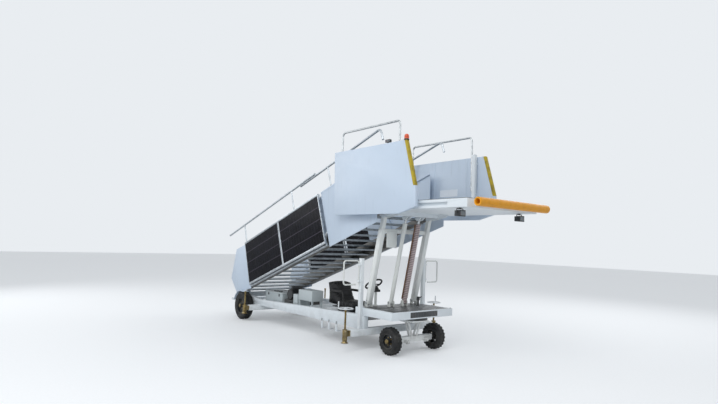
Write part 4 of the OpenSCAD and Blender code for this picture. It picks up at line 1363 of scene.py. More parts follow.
@dataclass
class Tyre:
    """A solid industrial tyre with chunky lugs on both shoulders.

    Attributes:
        node: Node that it stands for.
        lugs: Lugs on each shoulder.
        depth: Depth of the tread.
        lug_length: Length of a lug along the tread.
        bead_gap: Clearance between the bead and the rim.
    """

    node: str
    lugs: int
    depth: float = 0.010
    lug_length: float = 0.036
    bead_gap: float = 0.0003

    def carcass(self, radius: float, half: float, bore: float) -> Piece:
        """The walls and the crown below the lugs.

        Args:
            radius: Outer radius.
            half: Half the width.
            bore: Radius of the bead.

        Returns:
            The carcass about Z.
        """
        crown = radius - self.depth
        side = [(bore, half - 0.014), (bore + 0.008, half - 0.006), (bore + 0.020, half - 0.006),
                (bore + 0.024, half - 0.010), (radius - 0.066, half - 0.003),
                (radius - 0.060, half), (radius - 0.044, half - 0.001),
                (radius - 0.026, half - 0.006), (crown - 0.003, half - 0.020),
                (crown, half - 0.034)]
        back = [(r, -z) for r, z in side]
        return turned(back + side[::-1], 72, hollow=True)

    def shoulder(self, radius: float, half: float) -> Piece:
        """The ring of lugs on one shoulder.

        Args:
            radius: Outer radius.
            half: Half the width.

        Returns:
            The lugs about Z.
        """
        lug = block((radius - self.depth - 0.010, -self.lug_length / 2, 0.010),
                    (radius, self.lug_length / 2, half - 0.014))
        pick(lug, lambda face: face.normal.x > 0.9)
        middle = (radius, 0, half / 2)
        bpy.ops.transform.resize(value=(1, 0.74, 0.72), center_override=middle)
        pick(lug, lambda face: face.normal.z < -0.7)
        bpy.ops.transform.resize(value=(1, 0.55, 1), center_override=middle)
        modify(lug, "BEVEL", width=0.003, segments=1)
        pick(lug, lambda face: True)
        bpy.ops.mesh.spin(steps=self.lugs - 1, dupli=True, center=(0, 0, 0), axis=(0, 0, 1),
                          angle=2 * math.pi * (self.lugs - 1) / self.lugs)
        deselect()
        return lug

    def build(self) -> None:
        """Joins carcass and lugs and puts them on their wheel."""
        low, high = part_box(self.node)
        radius, half = (high.x - low.x) / 2, (high.y - low.y) / 2
        rim_low, rim_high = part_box(self.node.replace("tyre", "rim"))
        bore = (rim_high.x - rim_low.x) / 2 + self.bead_gap
        outer = self.shoulder(radius, half)
        inner = bpy.data.objects.new("Lugs", outer.data.copy())
        bpy.context.scene.collection.objects.link(inner)
        stand(inner, Matrix.Rotation(math.pi / self.lugs, 4, "Z") @ Matrix.Scale(-1, 4, (0, 0, 1)))
        tyre = shade(join([self.carcass(radius, half, bore), outer, inner]))
        stand(tyre, Matrix.Translation((low + high) / 2) @ Matrix.Rotation(-math.pi / 2, 4, "X"))
        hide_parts(self.node)
        settle(tyre, self.node.replace("_", " ").capitalize().replace(" ", "_"), TYRE,
               body_of(self.node))


@dataclass
class HubFittings:
    """Wheel nuts on the disc and the turned cap on the hub, in gold zinc.

    Attributes:
        wheel: Which wheel, as its nodes spell it.
        nut_circle: Radius of the circle of nuts.
        disc_out: Distance of the disc's face from the wheel's middle.
    """

    wheel: str
    nut_circle: float
    disc_out: float

    def build(self) -> None:
        """Makes the nuts and the cap, and puts them on the wheel's outer side."""
        axle, word = self.wheel.split("_")
        rim = f"{axle}_rim_{word}"
        low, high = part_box(f"{axle}_tyre_{word}")
        rim_low, rim_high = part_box(rim)
        side = 1 if (low.y + high.y) > 0 else -1
        middle = (low + high) / 2
        end = rim_high.y if side > 0 else -rim_low.y
        out = Vector((0, side, 0))
        cap = turned([(0.0365, -0.020), (0.0365, 0.0), (0.034, 0.003), (0.026, 0.004),
                      (0.020, 0.002), (0.010, 0.0035), (0.001, 0.004)], 36)
        stand(cap, facing(Vector((middle.x, side * end, middle.z)), out))
        nut = turned([(0.014, 0), (0.014, 0.0015), (0.0105, 0.0015), (0.0105, 0.011),
                      (0.009, 0.0125), (0.0045, 0.0125), (0.0045, 0.017), (0.003, 0.018)], 6)
        base = Vector((middle.x, middle.y + side * self.disc_out, middle.z))
        places = [facing(base + self.nut_circle * Vector((math.cos(turn), 0, math.sin(turn))), out)
                  for turn in (math.radians(36 + 72 * i) for i in range(5))]
        fittings = shade(join([cap, copies(nut, places)]))
        settle(fittings, f"Nuts_{self.wheel}", ZINC, body_of(rim))


@dataclass
class Bolting:
    """Hex bolts on their washers, modelled once and set where plates are fixed.

    Attributes:
        across: Half the width across a head's corners.
    """

    across: float = 0.011

    def head(self) -> Piece:
        """One bolt head on its washer.

        Returns:
            Both as one object that stands on the origin.
        """
        size = self.across
        washer = turned([(size * 1.5, -0.001), (size * 1.5, 0.002), (size * 1.35, 0.0026)], 20)
        hexagon = turned([(size, 0.002), (size, size * 0.75), (size * 0.86, size * 0.85)], 6)
        return join([washer, hexagon])

    def set_in(self, name: str, body: str, points: list[tuple[Vector, Vector]],
               finish: Finish | None = None) -> None:
        """Sets one bolt at each point of a body.

        Args:
            name: Plain name of the set.
            body: Body that carries it.
            points: Place and outward direction of each bolt.
            finish: What they are made of, bright zinc if not given.
        """
        placed = copies(self.head(), [facing(point, out) for point, out in points])
        settle(shade(placed), name, finish or BRIGHT_ZINC, body)

    def build(self) -> None:
        """Bolts of the chassis, the lift's pins, the side panels and the legs' feet."""
        chassis = []
        for side in (1, -1):
            out = LEFT * side
            for x in (-4.90, -4.82):
                chassis += [(from_datum(x, side * 0.765, z), out) for z in (0.455, 0.51)]
            chassis += [(from_datum(-4.45 + x, side * 0.708, z), out)
                        for x in (-0.015, 0.015) for z in (0.47, 0.53)]
            if side < 0:
                chassis += [(from_datum(x, -0.712, z), out)
                            for x in (-1.63, -1.415, -1.20) for z in (0.352, 0.372)]
            chassis += [(from_datum(x, side * y, 0.6955), UP)
                        for x in (-0.665, -0.25, 0.165) for y in (0.30, 0.67)]
        self.set_in("Chassis_bolts", "chassis", chassis)
        lift = []
        for side in (1, -1):
            lift += [(from_datum(-0.57, side * 0.590, 0.762), LEFT * side),
                     (from_datum(-0.57, side * 0.47, 0.762), LEFT * -side),
                     (from_datum(-0.43, side * 0.203, 0.762), LEFT * side)]
        Bolting(0.017).set_in("Lift_pin_nuts", "chassis", lift)
        panels = []
        for side in (1, -1):
            panels += [(from_datum(x, side * 0.91, z), LEFT * -side)
                       for x in (-1.03, 0.39) for z in (2.77, 3.17)]
        Bolting(0.008).set_in("Panel_bolts", "platform", panels)
        feet = [(from_datum(-0.575, side * 0.574, 0.80), LEFT * side) for side in (1, -1)]
        Bolting(0.009).set_in("Leg_foot_bolts", "legs_outer", feet)


@dataclass
class SolarModules:
    """Framed solar modules on both sides of the lower flight.

    Attributes:
        lip: Width of the frame round the glass.
        sunk: Depth of the glass below the frame.
        hollow: Depth of the open back behind the glass.
        clamp: Half the length of a clamp.
        overlap: Distance of a clamp's middle from the module's edge.
        grip: Half the height of a clamp.
    """

    lip: float = 0.013
    sunk: float = 0.0025
    hollow: float = 0.022
    clamp: float = 0.025
    overlap: float = 0.012
    grip: float = 0.010

    def module(self, start: float, end: float, low: float, high: float) -> Piece:
        """One module of the left side, with glass set in its frame.

        Args:
            start: Lower end along the flight.
            end: Upper end along the flight.
            low: Lower edge across the flight.
            high: Upper edge across the flight.

        Returns:
            The module in the flight's own axes.
        """
        made = block((start, PV_IN, low), (end, PV_OUT, high))
        made.data.materials.append(ALUMINIUM.material())
        made.data.materials.append(PANEL_GLASS.material())
        made.active_material_index = 1
        for out, lip, depth in ((LEFT, self.lip, self.sunk), (-LEFT, self.lip * 2, self.hollow)):
            recess(made, out, lip, depth)
            bpy.ops.object.material_slot_assign()
        deselect()
        return modify(made, "BEVEL", width=0.0008, segments=1, limit_method="ANGLE",
                      angle_limit=math.radians(40))

    def clamps(self, starts: list[float], low: float, high: float) -> Piece:
        """Module clamps on the top and bottom rails.

        Args:
            starts: Places along the flight.
            low: Lower edge across the flight.
            high: Upper edge across the flight.

        Returns:
            The clamps in the flight's own axes.
        """
        made = []
        for start in starts:
            for edge, turn in ((low, 1), (high, -1)):
                middle = edge - self.overlap * turn
                clip = block((start - self.clamp, PV_OUT - 0.004, middle - self.grip),
                             (start + self.clamp, PV_OUT - 0.0005, middle + self.grip))
                made.append(roll_edges(clip, 0.001, 1))
        return join(made)

    def build(self) -> None:
        """Both sides' modules and their clamps."""
        corners = [IN_FLIGHT.inverted() @ v.co for v in frame["nodes"]["pv_panels"].data.vertices]
        spots = sorted({round(c.x, 4) for c in corners})
        low, high = min(c.z for c in corners), max(c.z for c in corners)
        modules = [self.module(spots[i], spots[i + 1], low, high) for i in (0, 2)]
        whole = on_both_sides(stand(join(modules), IN_FLIGHT))
        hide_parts("pv_panels")
        settle(whole, "Solar_modules", PANEL_GLASS, "lower_flight")
        starts = [spots[i] + share * (spots[i + 1] - spots[i])
                  for i in (0, 2) for share in (0.18, 0.82)]
        clips = on_both_sides(stand(self.clamps(starts, low, high), IN_FLIGHT))
        settle(clips, "Module_clamps", ALUMINIUM_POST, "lower_flight")


@dataclass
class SidePanels:
    """Details of the platform's side panels: rivets, joint strips and a bare plate.

    Attributes:
        pitch: Distance between two rivets.
        outer: Where the outer sheet lies, to the left of the middle.
        inner: Where the inner sheet lies.
        strip_face: Where the face of a joint strip lies.
        strip_back: Where its back lies, sunk in the inner sheet.
    """

    pitch: float = 0.16
    outer: float = 0.96
    inner: float = 0.91
    strip_face: float = 0.9075
    strip_back: float = 0.9105

    def rivets(self) -> None:
        """Domed rivets round the outer and inner sheets."""
        corners = [(-1.055, 3.245), (-1.02, 2.245), (0.50, 2.237), (0.845, 2.32), (0.79, 2.59),
                   (0.605, 3.245)]
        spots = []
        for (x0, z0), (x1, z1) in zip(corners, corners[1:] + corners[:1]):
            count = max(1, round(math.dist((x0, z0), (x1, z1)) / self.pitch))
            spots += [(x0 + (x1 - x0) * i / count, z0 + (z1 - z0) * i / count)
                      for i in range(count)]
        dome = turned([(0.0045, -0.0005), (0.0045, 0.0006), (0.0036, 0.0018), (0.0015, 0.0024)],
                      10)
        places = [facing(from_datum(x, side * y, z), Vector((0, side * out, 0)))
                  for x, z in spots for side in (1, -1)
                  for y, out in ((self.outer, 1), (self.inner, -1))]
        settle(shade(copies(dome, places)), "Panel_rivets", WHITE_SHEET, "platform")

    def seams(self) -> None:
        """Cover strips over the joints of the inner sheets, and a bare plate on the left one."""
        made = []
        for x in (-0.48, 0.27):
            strip = block(from_datum(x - 0.018, self.strip_face, 2.24),
                          from_datum(x + 0.018, self.strip_back, 3.255))
            recess(strip, -LEFT, 0.004, -0.0008)
            made.append(roll_edges(strip, 0.0008, 1))
        strips = on_both_sides(join(made))
        settle(strips, "Sheet_joint_strips", WHITE_SHEET, "platform")
        plate = block(from_datum(-0.335, self.strip_face, 2.63),
                      from_datum(0.075, self.strip_back, 2.755))
        recess(plate, -LEFT, 0.006, 0.0006)
        settle(roll_edges(plate, 0.0007, 1), "Bare_plate", BARE_PLATE, "platform")

    def build(self) -> None:
        """Rivets, strips and the plate."""
        self.rivets()
        self.seams()


@dataclass
class DriverSeat:
    """The driver's seat: two padded vinyl cushions and an armrest on each side.

    Attributes:
        voxel: Cell of the remesh before a cushion is filled.
        travel: How far the filling may move a point.
        pressure: Pressure of the filling.
        frames: Frames that the filling is run for.
        seam: Half the width of a sewn channel.
        cushion_start: Where the cushion starts, ahead of the seat's rear.
        cushion_top: Height of the slack cushion.
        back_start: Where the foot of the back starts, ahead of the seat's rear.
        back_end: Where its foot ends.
        rear_lean: How far the back's rear face leans over its height.
        front_lean: How far its front face does.
    """

    voxel: float = 0.006
    travel: float = 0.024
    pressure: float = 4.0
    frames: int = 20
    seam: float = 0.009
    cushion_start: float = 0.275
    cushion_top: float = 0.695
    back_start: float = 0.080
    back_end: float = 0.385
    rear_lean: float = 0.052
    front_lean: float = 0.165

    def swell(self, pad: Piece) -> None:
        """Fills a pad as cloth under pressure and caps how far each point moves.

        Args:
            pad: The remeshed pad.
        """
        before = [vertex.co.copy() for vertex in pad.data.vertices]
        cloth = pad.modifiers.new("Filling", "CLOTH")
        cloth.settings.use_pressure = True
        cloth.settings.uniform_pressure_force = self.pressure
        cloth.settings.effector_weights.gravity = 0
        cloth.point_cache.frame_start = 1
        cloth.point_cache.frame_end = self.frames
        for step in range(1, self.frames + 1):
            bpy.context.scene.frame_set(step)
        lone(pad)
        bpy.ops.object.modifier_apply(modifier=cloth.name)
        for vertex, start in zip(pad.data.vertices, before):
            moved = vertex.co - start
            if moved.length > self.travel:
                vertex.co = start + moved.normalized() * self.travel
        bpy.context.scene.frame_set(1)

    def channel(self, pad: Piece, along: Vector, middle: Vector, depth: float,
                out: Vector) -> None:
        """Presses a sewn channel into the faces that look outwards.

        Args:
            pad: The filled pad.
            along: Normal of the plane that the stitches lie in.
            middle: A point of that plane.
            depth: Depth of the channel.
            out: Direction that the cushion's face looks in.
        """
        for vertex in pad.data.vertices:
            away = abs((vertex.co - middle).dot(along)) / self.seam
            if away < 1 and vertex.normal.dot(out) > 0.2:
                vertex.co -= out * depth * (1 - away ** 2) ** 2

    def cushion(self, pad: Piece, floor: float | None = None,
                roll: float = 0.028) -> Piece:
        """Remeshes and fills one pad.

        Args:
            pad: Its slack shape.
            floor: Height of the plate that it rests on.
            roll: Radius of its edges.

        Returns:
            The same object.
        """
        roll_edges(pad, roll, 4)
        lone(pad)
        pad.data.remesh_voxel_size = self.voxel
        bpy.ops.object.voxel_remesh()
        self.swell(pad)
        if floor is not None:
            for vertex in pad.data.vertices:
                vertex.co.z = max(vertex.co.z, floor)
        return pad

    def squab(self, low: Vector, high: Vector) -> None:
        """The cushion that is sat on.

        Args:
            low: Lowest corner of the node.
            high: Highest corner of the node.
        """
        floor = low.z + 0.002
        start = low.x + self.cushion_start
        middle = (low + high) / 2
        pad = block((start + 0.02, low.y + 0.022, floor),
                    (high.x - 0.022, high.y - 0.022, self.cushion_top))
        pick(pad, lambda face: face.normal.z > 0.9)
        bpy.ops.transform.resize(value=(0.95, 0.93, 1), center_override=(
            start + 0.26, (low.y + high.y) / 2, self.cushion_top))
        self.cushion(pad, floor)
        for y in (-0.145, 0.145):
            self.channel(pad, LEFT, middle + LEFT * y, 0.009, UP)
        for x in (start + 0.17, start + 0.32):
            self.channel(pad, AHEAD, AHEAD * x, 0.006, UP)
        modify(pad, "SUBSURF", levels=1, render_levels=1)
        shade(pad, 60)
        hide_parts("driver_seat")
        settle(pad, "Driver_cushion", SEAT_VINYL, "chassis")

    def backrest(self, low: Vector, high: Vector) -> None:
        """The leaning back cushion with its rounded top.

        Args:
            low: Lowest corner of the node.
            high: Highest corner of the node.
        """
        foot_z, head_z = low.z + 0.040, high.z - 0.026
        pad = block((low.x + self.back_start, low.y + 0.024, foot_z),
                    (low.x + self.back_end, high.y - 0.024, head_z))
        modify(pad, "SUBSURF", levels=2, render_levels=2, subdivision_type="SIMPLE")
        middle = (low.y + high.y) / 2
        for vertex in pad.data.vertices:
            share = (vertex.co.z - foot_z) / (head_z - foot_z)
            ahead = vertex.co.x > low.x + 0.2
            vertex.co.x -= (self.front_lean if ahead else self.rear_lean) * share
            vertex.co.y = middle + (vertex.co.y - middle) * (1 - 0.07 * share ** 3)
        self.cushion(pad, roll=0.045)
        out = Vector((0.9, 0, 0.4)).normalized()
        for y in (-0.12, 0.12):
            self.channel(pad, LEFT, LEFT * (middle + y), 0.009, out)
        for z in (foot_z + 0.13, foot_z + 0.25):
            self.channel(pad, UP, UP * z, 0.006, out)
        modify(pad, "SUBSURF", levels=1, render_levels=1)
        shade(pad, 60)
        settle(pad, "Driver_backrest", SEAT_VINYL, "chassis")

    def arms(self, low: Vector, high: Vector) -> None:
        """The armrest loops with their pads.

        Args:
            low: Lowest corner of the node.
            high: Highest corner of the node.
        """
        loops = []
        for y in (low.y + 0.006, high.y - 0.006):
            path = [Vector((low.x + 0.19, y, 0.70)), Vector((low.x + 0.16, y, 0.86)),
                    Vector((low.x + 0.52, y, 0.865)), Vector((low.x + 0.55, y, 0.64))]
            loops.append(tube(path, 0.013, 0.045))
            rest = block((low.x + 0.20, y - 0.020, 0.858), (low.x + 0.50, y + 0.020, 0.892))
            loops.append(roll_edges(rest, 0.009, 3))
        settle(shade(join(loops)), "Driver_armrests", BLACK_RUBBER, "chassis")

    def build(self) -> None:
        """Both cushions and the arms."""
        low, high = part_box("driver_seat")
        self.squab(low, high)
        self.backrest(low, high)
        self.arms(low, high)


@dataclass
class SteeringWheel:
    """The steering wheel: a moulded rim with spokes and a hub, and the cap on the hub.

    Attributes:
        radius: Radius of the rim's middle line.
        grip: Radius of the rim's section.
        knurl_depth: Depth of the knurls on the rim's inner side.
    """

    radius: float = 0.1465
    grip: float = 0.0155
    knurl_depth: float = 0.0012

    def knurled(self, face: bmesh.types.BMFace) -> bool:
        """Whether a face lies in a knurl, on every other step of the rim's inner side.

        Args:
            face: Face of the rim.

        Returns:
            Whether it is pressed in.
        """
        spot = face.calc_center_median()
        step = int(math.degrees(math.atan2(spot.y, spot.x)) // 5)
        return spot.xy.length < self.radius - 0.004 and step % 2 == 0

    def build(self) -> None:
        """Models the wheel about its own axis and stands it on the column."""
        joint_place = Vector(joint("steering_wheel_turn")["pos_m"])
        axis = Vector(joint("steering_wheel_turn")["axis"]).normalized()
        if axis.z < 0:
            axis = -axis
        deselect()
        bpy.ops.mesh.primitive_torus_add(major_radius=self.radius, minor_radius=self.grip,
                                         major_segments=72, minor_segments=14,
                                         location=(0, 0, 0.006))
        rim = bpy.context.object
        pick(rim, self.knurled)
        bpy.ops.transform.shrink_fatten(value=-self.knurl_depth)
        deselect()
        parts = [rim]
        for turn in (60, 180, 300):
            spoke = block((0.025, -0.014, -0.004), (self.radius - 0.006, 0.014, 0.005))
            pick(spoke, lambda face: face.normal.x > 0.9)
            bpy.ops.transform.resize(value=(1, 0.6, 1), center_override=(0.14, 0, 0))
            deselect()
            roll_edges(spoke, 0.003, 2)
            parts.append(stand(spoke, Matrix.Rotation(math.radians(turn), 4, "Z")))
        parts.append(turned([(0.030, -0.020), (0.038, -0.014), (0.038, 0.006), (0.034, 0.012),
                             (0.026, 0.014), (0.010, 0.014)], 40))
        wheel = stand(shade(join(parts)), facing(joint_place, axis))
        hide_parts("steering_wheel")
        settle(wheel, "Steering_wheel", BLACK_RUBBER, "steering_wheel")
        cap = turned([(0.0245, 0.011), (0.0245, 0.0145), (0.022, 0.016), (0.012, 0.017),
                      (0.001, 0.0175)], 36)
        settle(shade(stand(cap, facing(joint_place, axis))), "Steering_hub_cap", HUB_CAP,
               "steering_wheel")


@dataclass
class ScrewJack:
    """A screw jack: threaded rod, bell foot, and a handwheel or a hex head.

    Attributes:
        node: Node that it stands for.
        wheeled: Whether it has a handwheel.
        pitch: Pitch of the thread, about twice that of a real one, so that it shows.
        core: Radius at the bottom of the thread.
        crest: Radius at its top.
        wheel_radius: Radius of the handwheel's rim.
        wheel_height: Height of the handwheel above the ground.
    """

    node: str
    wheeled: bool
    pitch: float = 0.012
    core: float = 0.0145
    crest: float = 0.017
    wheel_radius: float = 0.117
    wheel_height: float = 0.70

    def build(self) -> None:
        """Models the jack about its own axis and stands it in its sleeve."""
        low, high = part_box(self.node)
        middle = (low + high) / 2
        foot = turned([(0.056, 0.0), (0.060, 0.002), (0.060, 0.006), (0.057, 0.008),
                       (0.048, 0.009), (0.044, 0.016), (0.038, 0.030), (0.034, 0.034),
                       (0.017, 0.034)], 40)
        stand(foot, Matrix.Translation((middle.x, middle.y, low.z)))
        top = 0.716 if self.wheeled else 0.622
        bottom = low.z + 0.032
        profile = [(self.core, bottom)]
        height = bottom + 0.002
        while height + self.pitch < top:
            profile += [(self.core, height), (self.crest, height + self.pitch * 0.2),
                        (self.crest, height + self.pitch * 0.5),
                        (self.core, height + self.pitch * 0.7)]
            height += self.pitch
        profile.append((self.core, top))
        screw = turned(profile, 24)
        stand(screw, Matrix.Translation((middle.x, middle.y, 0)))
        parts = [foot, screw]
        if not self.wheeled:
            head = turned([(0.0205, 0), (0.024, 0.003), (0.024, 0.026), (0.0205, 0.030),
                           (0.006, 0.030)], 6)
            parts.append(stand(head, Matrix.Translation((middle.x, middle.y, high.z - 0.030))))
        whole = shade(join(parts), 30)
        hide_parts(self.node)
        settle(whole, self.node.capitalize(), ZINC, body_of(self.node))
        if self.wheeled:
            self.handwheel(middle, math.copysign(1, middle.y))

    def handwheel(self, middle: Vector, side: float) -> None:
        """The spoked handwheel with its upright grip.

        Args:
            middle: Middle of the jack's box.
            side: One on the left and minus one on the right.
        """
        deselect()
        bpy.ops.mesh.primitive_torus_add(major_radius=self.wheel_radius, minor_radius=0.0088,
                                         major_segments=64, minor_segments=12)
        parts = [bpy.context.object]
        for turn in (0, 120, 240):
            spoke = tube([Vector((0.015, 0, -0.006)), Vector((0.07, 0, -0.006)),
                          Vector((self.wheel_radius, 0, 0.0))], 0.0068, 0.02)
            parts.append(stand(spoke, Matrix.Rotation(math.radians(turn), 4, "Z")))
        parts.append(turned([(0.024, -0.016), (0.027, -0.013), (0.027, 0.010), (0.022, 0.015),
                             (0.012, 0.017), (0.011, 0.022), (0.005, 0.023)], 32))
        turn = math.radians(side * 120)
        grip = turned([(0.005, -0.006), (0.005, 0.012), (0.0085, 0.016), (0.0105, 0.040),
                       (0.0105, 0.085), (0.009, 0.105), (0.005, 0.113), (0.001, 0.115)], 20)
        stand(grip, Matrix.Translation((self.wheel_radius * math.cos(turn),
                                        self.wheel_radius * math.sin(turn), 0)))
        parts.append(grip)
        wheel = stand(shade(join(parts)),
                      Matrix.Translation((middle.x, middle.y, self.wheel_height)))
        settle(wheel, f"Handwheel_{self.node.split('_')[-1]}", WHEEL_PAINT, body_of(self.node))


@dataclass
class Lamps:
    """The beacon, the lamp on the right-hand panel and the work lamps under the front edge.

    Attributes:
        ribs: Rings round the beacon's lens.
        rib_pitch: Distance between two of them.
        fins: Cooling fins behind a lamp.
    """

    ribs: int = 9
    rib_pitch: float = 0.0052
    fins: int = 7

    def beacon(self) -> None:
        """A ribbed lens on a black base ring."""
        low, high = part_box("beacon")
        middle = (low + high) / 2
        wall = [(0.0362, 0.016)]
        for i in range(self.ribs):
            height = 0.018 + i * self.rib_pitch
            wall += [(0.0368, height + 0.001), (0.0352, height + 0.0042)]
        lens = turned(wall + [(0.0345, 0.068), (0.031, 0.078), (0.021, 0.087), (0.009, 0.0915),
                              (0.001, 0.0917)], 48)
        stand(lens, Matrix.Translation((middle.x, middle.y, low.z)))
        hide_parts("beacon")
        settle(shade(lens), "Beacon_lens", BEACON_LENS, "platform")
        base = turned([(0.0385, 0.0), (0.040, 0.002), (0.040, 0.014), (0.0385, 0.0175),
                       (0.0355, 0.0178)], 48)
        stand(base, Matrix.Translation((middle.x, middle.y, low.z)))
        settle(shade(base), "Beacon_base", BLACK_STEEL, "platform")

    def unit(self, low: Vector, high: Vector, ahead: Vector) -> list[Piece]:
        """One lamp unit: finned housing with a sunk lens.

        Args:
            low: Lowest corner of the housing.
            high: Highest corner of the housing.
            ahead: Direction that it shines in.

        Returns:
            The housing and the lens.
        """
        middle = (low + high) / 2
        depth = abs((high - low).dot(ahead))
        housing = block(low, high)
        recess(housing, ahead, 0.007, 0.006)
        pick(housing, lambda face: face.normal.dot(ahead) < -0.9)
        bpy.ops.transform.resize(value=(0.86, 0.86, 0.86),
                                 center_override=tuple(middle - ahead * depth / 2))
        parts = [roll_edges(housing, 0.003, 2)]
        across = UP.cross(ahead).normalized()
        span = abs((high - low).dot(across))
        for i in range(self.fins):
            share = i / (self.fins - 1) - 0.5
            place = middle + across * span * share * 0.72 - ahead * depth * 0.30
            size = Vector((0.0022, 0.0022, (high.z - low.z) * 0.42)) + Vector(
                [abs(c) for c in ahead]) * depth * 0.19
            parts.append(block(place - size, place + size))
        corner = Vector((0.002, 0.002, 0.002))
        glass = block(middle + ahead * (depth / 2 - 0.0055) - corner,
                      middle + ahead * (depth / 2 - 0.0035) + corner)
        grow = Vector([abs(c) for c in across]) * (span / 0.004 * 0.80)
        pick(glass, lambda face: True)
        bpy.ops.transform.resize(
            value=(max(grow.x, 0.8), max(grow.y, 0.8), (high.z - low.z) / 0.004 * 0.68),
            center_override=tuple(middle + ahead * (depth / 2 - 0.0045)))
        deselect()
        return [join(parts), glass]

    def build(self) -> None:
        """All lamps of the platform."""
        self.beacon()
        work, work_glass = self.unit(from_datum(1.417, 0.642, 2.155),
                                     from_datum(1.523, 0.758, 2.243), AHEAD)
        yoke = tube([from_datum(1.47, 0.635, 2.20), from_datum(1.47, 0.635, 2.262),
                     from_datum(1.47, 0.765, 2.262), from_datum(1.47, 0.765, 2.20)], 0.006, 0.012)
        foot = turned([(0.018, 0), (0.018, 0.010), (0.012, 0.014)], 20)
        stand(foot, Matrix.Translation(from_datum(1.47, 0.70, 2.261)))
        both = on_both_sides(join([work, yoke, foot]))
        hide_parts("platform_lamps")
        settle(shade(both), "Work_lamps", BLACK_STEEL, "platform")
        settle(on_both_sides(work_glass), "Work_lamp_lenses", CLEAR_LENS, "platform")
        low, high = from_datum(0.195, -0.957, 3.297), from_datum(0.305, -0.913, 3.343)
        top, top_glass = self.unit(low, high, -LEFT)
        stem = turned([(0.020, 0), (0.020, 0.004), (0.009, 0.006), (0.009, 0.014)], 20)
        stand(stem, Matrix.Translation(from_datum(0.25, -0.935, 3.285)))
        settle(shade(join([top, stem])), "Panel_lamp", BLACK_STEEL, "platform")
        settle(top_glass, "Panel_lamp_lens", CLEAR_LENS, "platform")


@dataclass
class PowerPack:
    """Pump unit in the bay: tank, finned motor and the pump's block.

    Attributes:
        fins: Cooling rings on the motor.
        valley: Radius of the motor between them.
        crest: Radius of a ring.
    """

    fins: int = 17
    valley: float = 0.101
    crest: float = 0.115

    def build(self) -> None:
        """Models the tank, the motor and the pump."""
        low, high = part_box("power_pack")
        tank = block((low.x, low.y, low.z), (high.x, high.y, low.z + 0.119))
        recess(tank, UP, 0.012, 0.004)
        parts = [roll_edges(tank, 0.004, 2)]
        profile = [(0.045, 0.0), (0.100, 0.004), (0.106, 0.014), (0.106, 0.03)]
        start, end = 0.035, 0.345
        step = (end - start) / self.fins
        for i in range(self.fins):
            at = start + i * step
            profile += [(self.valley, at), (self.valley, at + step * 0.45),
                        (self.crest, at + step * 0.5), (self.crest, at + step * 0.85),
                        (self.valley, at + step * 0.95)]
        profile += [(0.106, 0.350), (0.106, 0.366), (0.070, 0.380)]
        motor = turned(profile, 40)
        centre = Vector((low.x + 0.15, low.y + 0.02, 0.660))
        stand(motor, facing(centre, LEFT))
        pump = turned([(0.060, 0), (0.070, 0.006), (0.070, 0.05), (0.055, 0.055), (0.055, 0.11),
                       (0.064, 0.115), (0.064, 0.15), (0.040, 0.16)], 32)
        stand(pump, facing(centre + LEFT * 0.38, LEFT))
        box = block((low.x + 0.12, low.y + 0.08, 0.755), (low.x + 0.18, low.y + 0.32, high.z))
        recess(box, UP, 0.006, 0.002)
        parts += [motor, pump, roll_edges(box, 0.004, 2)]
        for y in (0.12, 0.30):
            foot = block((centre.x - 0.07, low.y + y - 0.012, low.z + 0.115),
                         (centre.x + 0.07, low.y + y + 0.012, 0.600))
            pick(foot, lambda face: face.normal.z > 0.9)
            bpy.ops.transform.resize(value=(0.7, 1, 1), center_override=(centre.x, 0, 0.6))
            parts.append(roll_edges(foot, 0.002, 1))
        whole = shade(join(parts))
        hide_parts("power_pack")
        settle(whole, "Power_pack", BLACK_STEEL, "chassis")


@dataclass
class Batteries:
    """Latches, hinge straps and filler caps of the battery box.

    Attributes:
        cells: Filler caps in the row.
        cell_pitch: Distance between two of them.
    """

    cells: int = 4
    cell_pitch: float = 0.09

    def build(self) -> None:
        """Sets latches on the outer side, and straps and caps on the lid."""
        low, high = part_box("battery_box")
        parts = []
        for share in (0.2, 0.8):
            x = low.x + share * (high.x - low.x)
            latch = block((x - 0.014, low.y + 0.004, 0.585), (x + 0.014, low.y + 0.014, 0.650))
            recess(latch, -LEFT, 0.004, -0.003)
            parts.append(roll_edges(latch, 0.0015, 2))
            strap = block((x - 0.02, high.y - 0.06, 0.6615), (x + 0.02, high.y - 0.004, 0.6655))
            parts.append(roll_edges(strap, 0.0015, 1))
        cap = turned([(0.0225, 0), (0.0225, 0.016), (0.020, 0.0185), (0.012, 0.0185),
                      (0.011, 0.0165), (0.003, 0.0165)], 20)
        spots = [Matrix.Translation(from_datum(-4.4 + 0.68 + i * self.cell_pitch, -0.47, 0.662))
                 for i in range(self.cells)]
        parts.append(copies(cap, spots))
        settle(shade(join(parts)), "Battery_box_fittings", BLACK_RUBBER, "chassis")


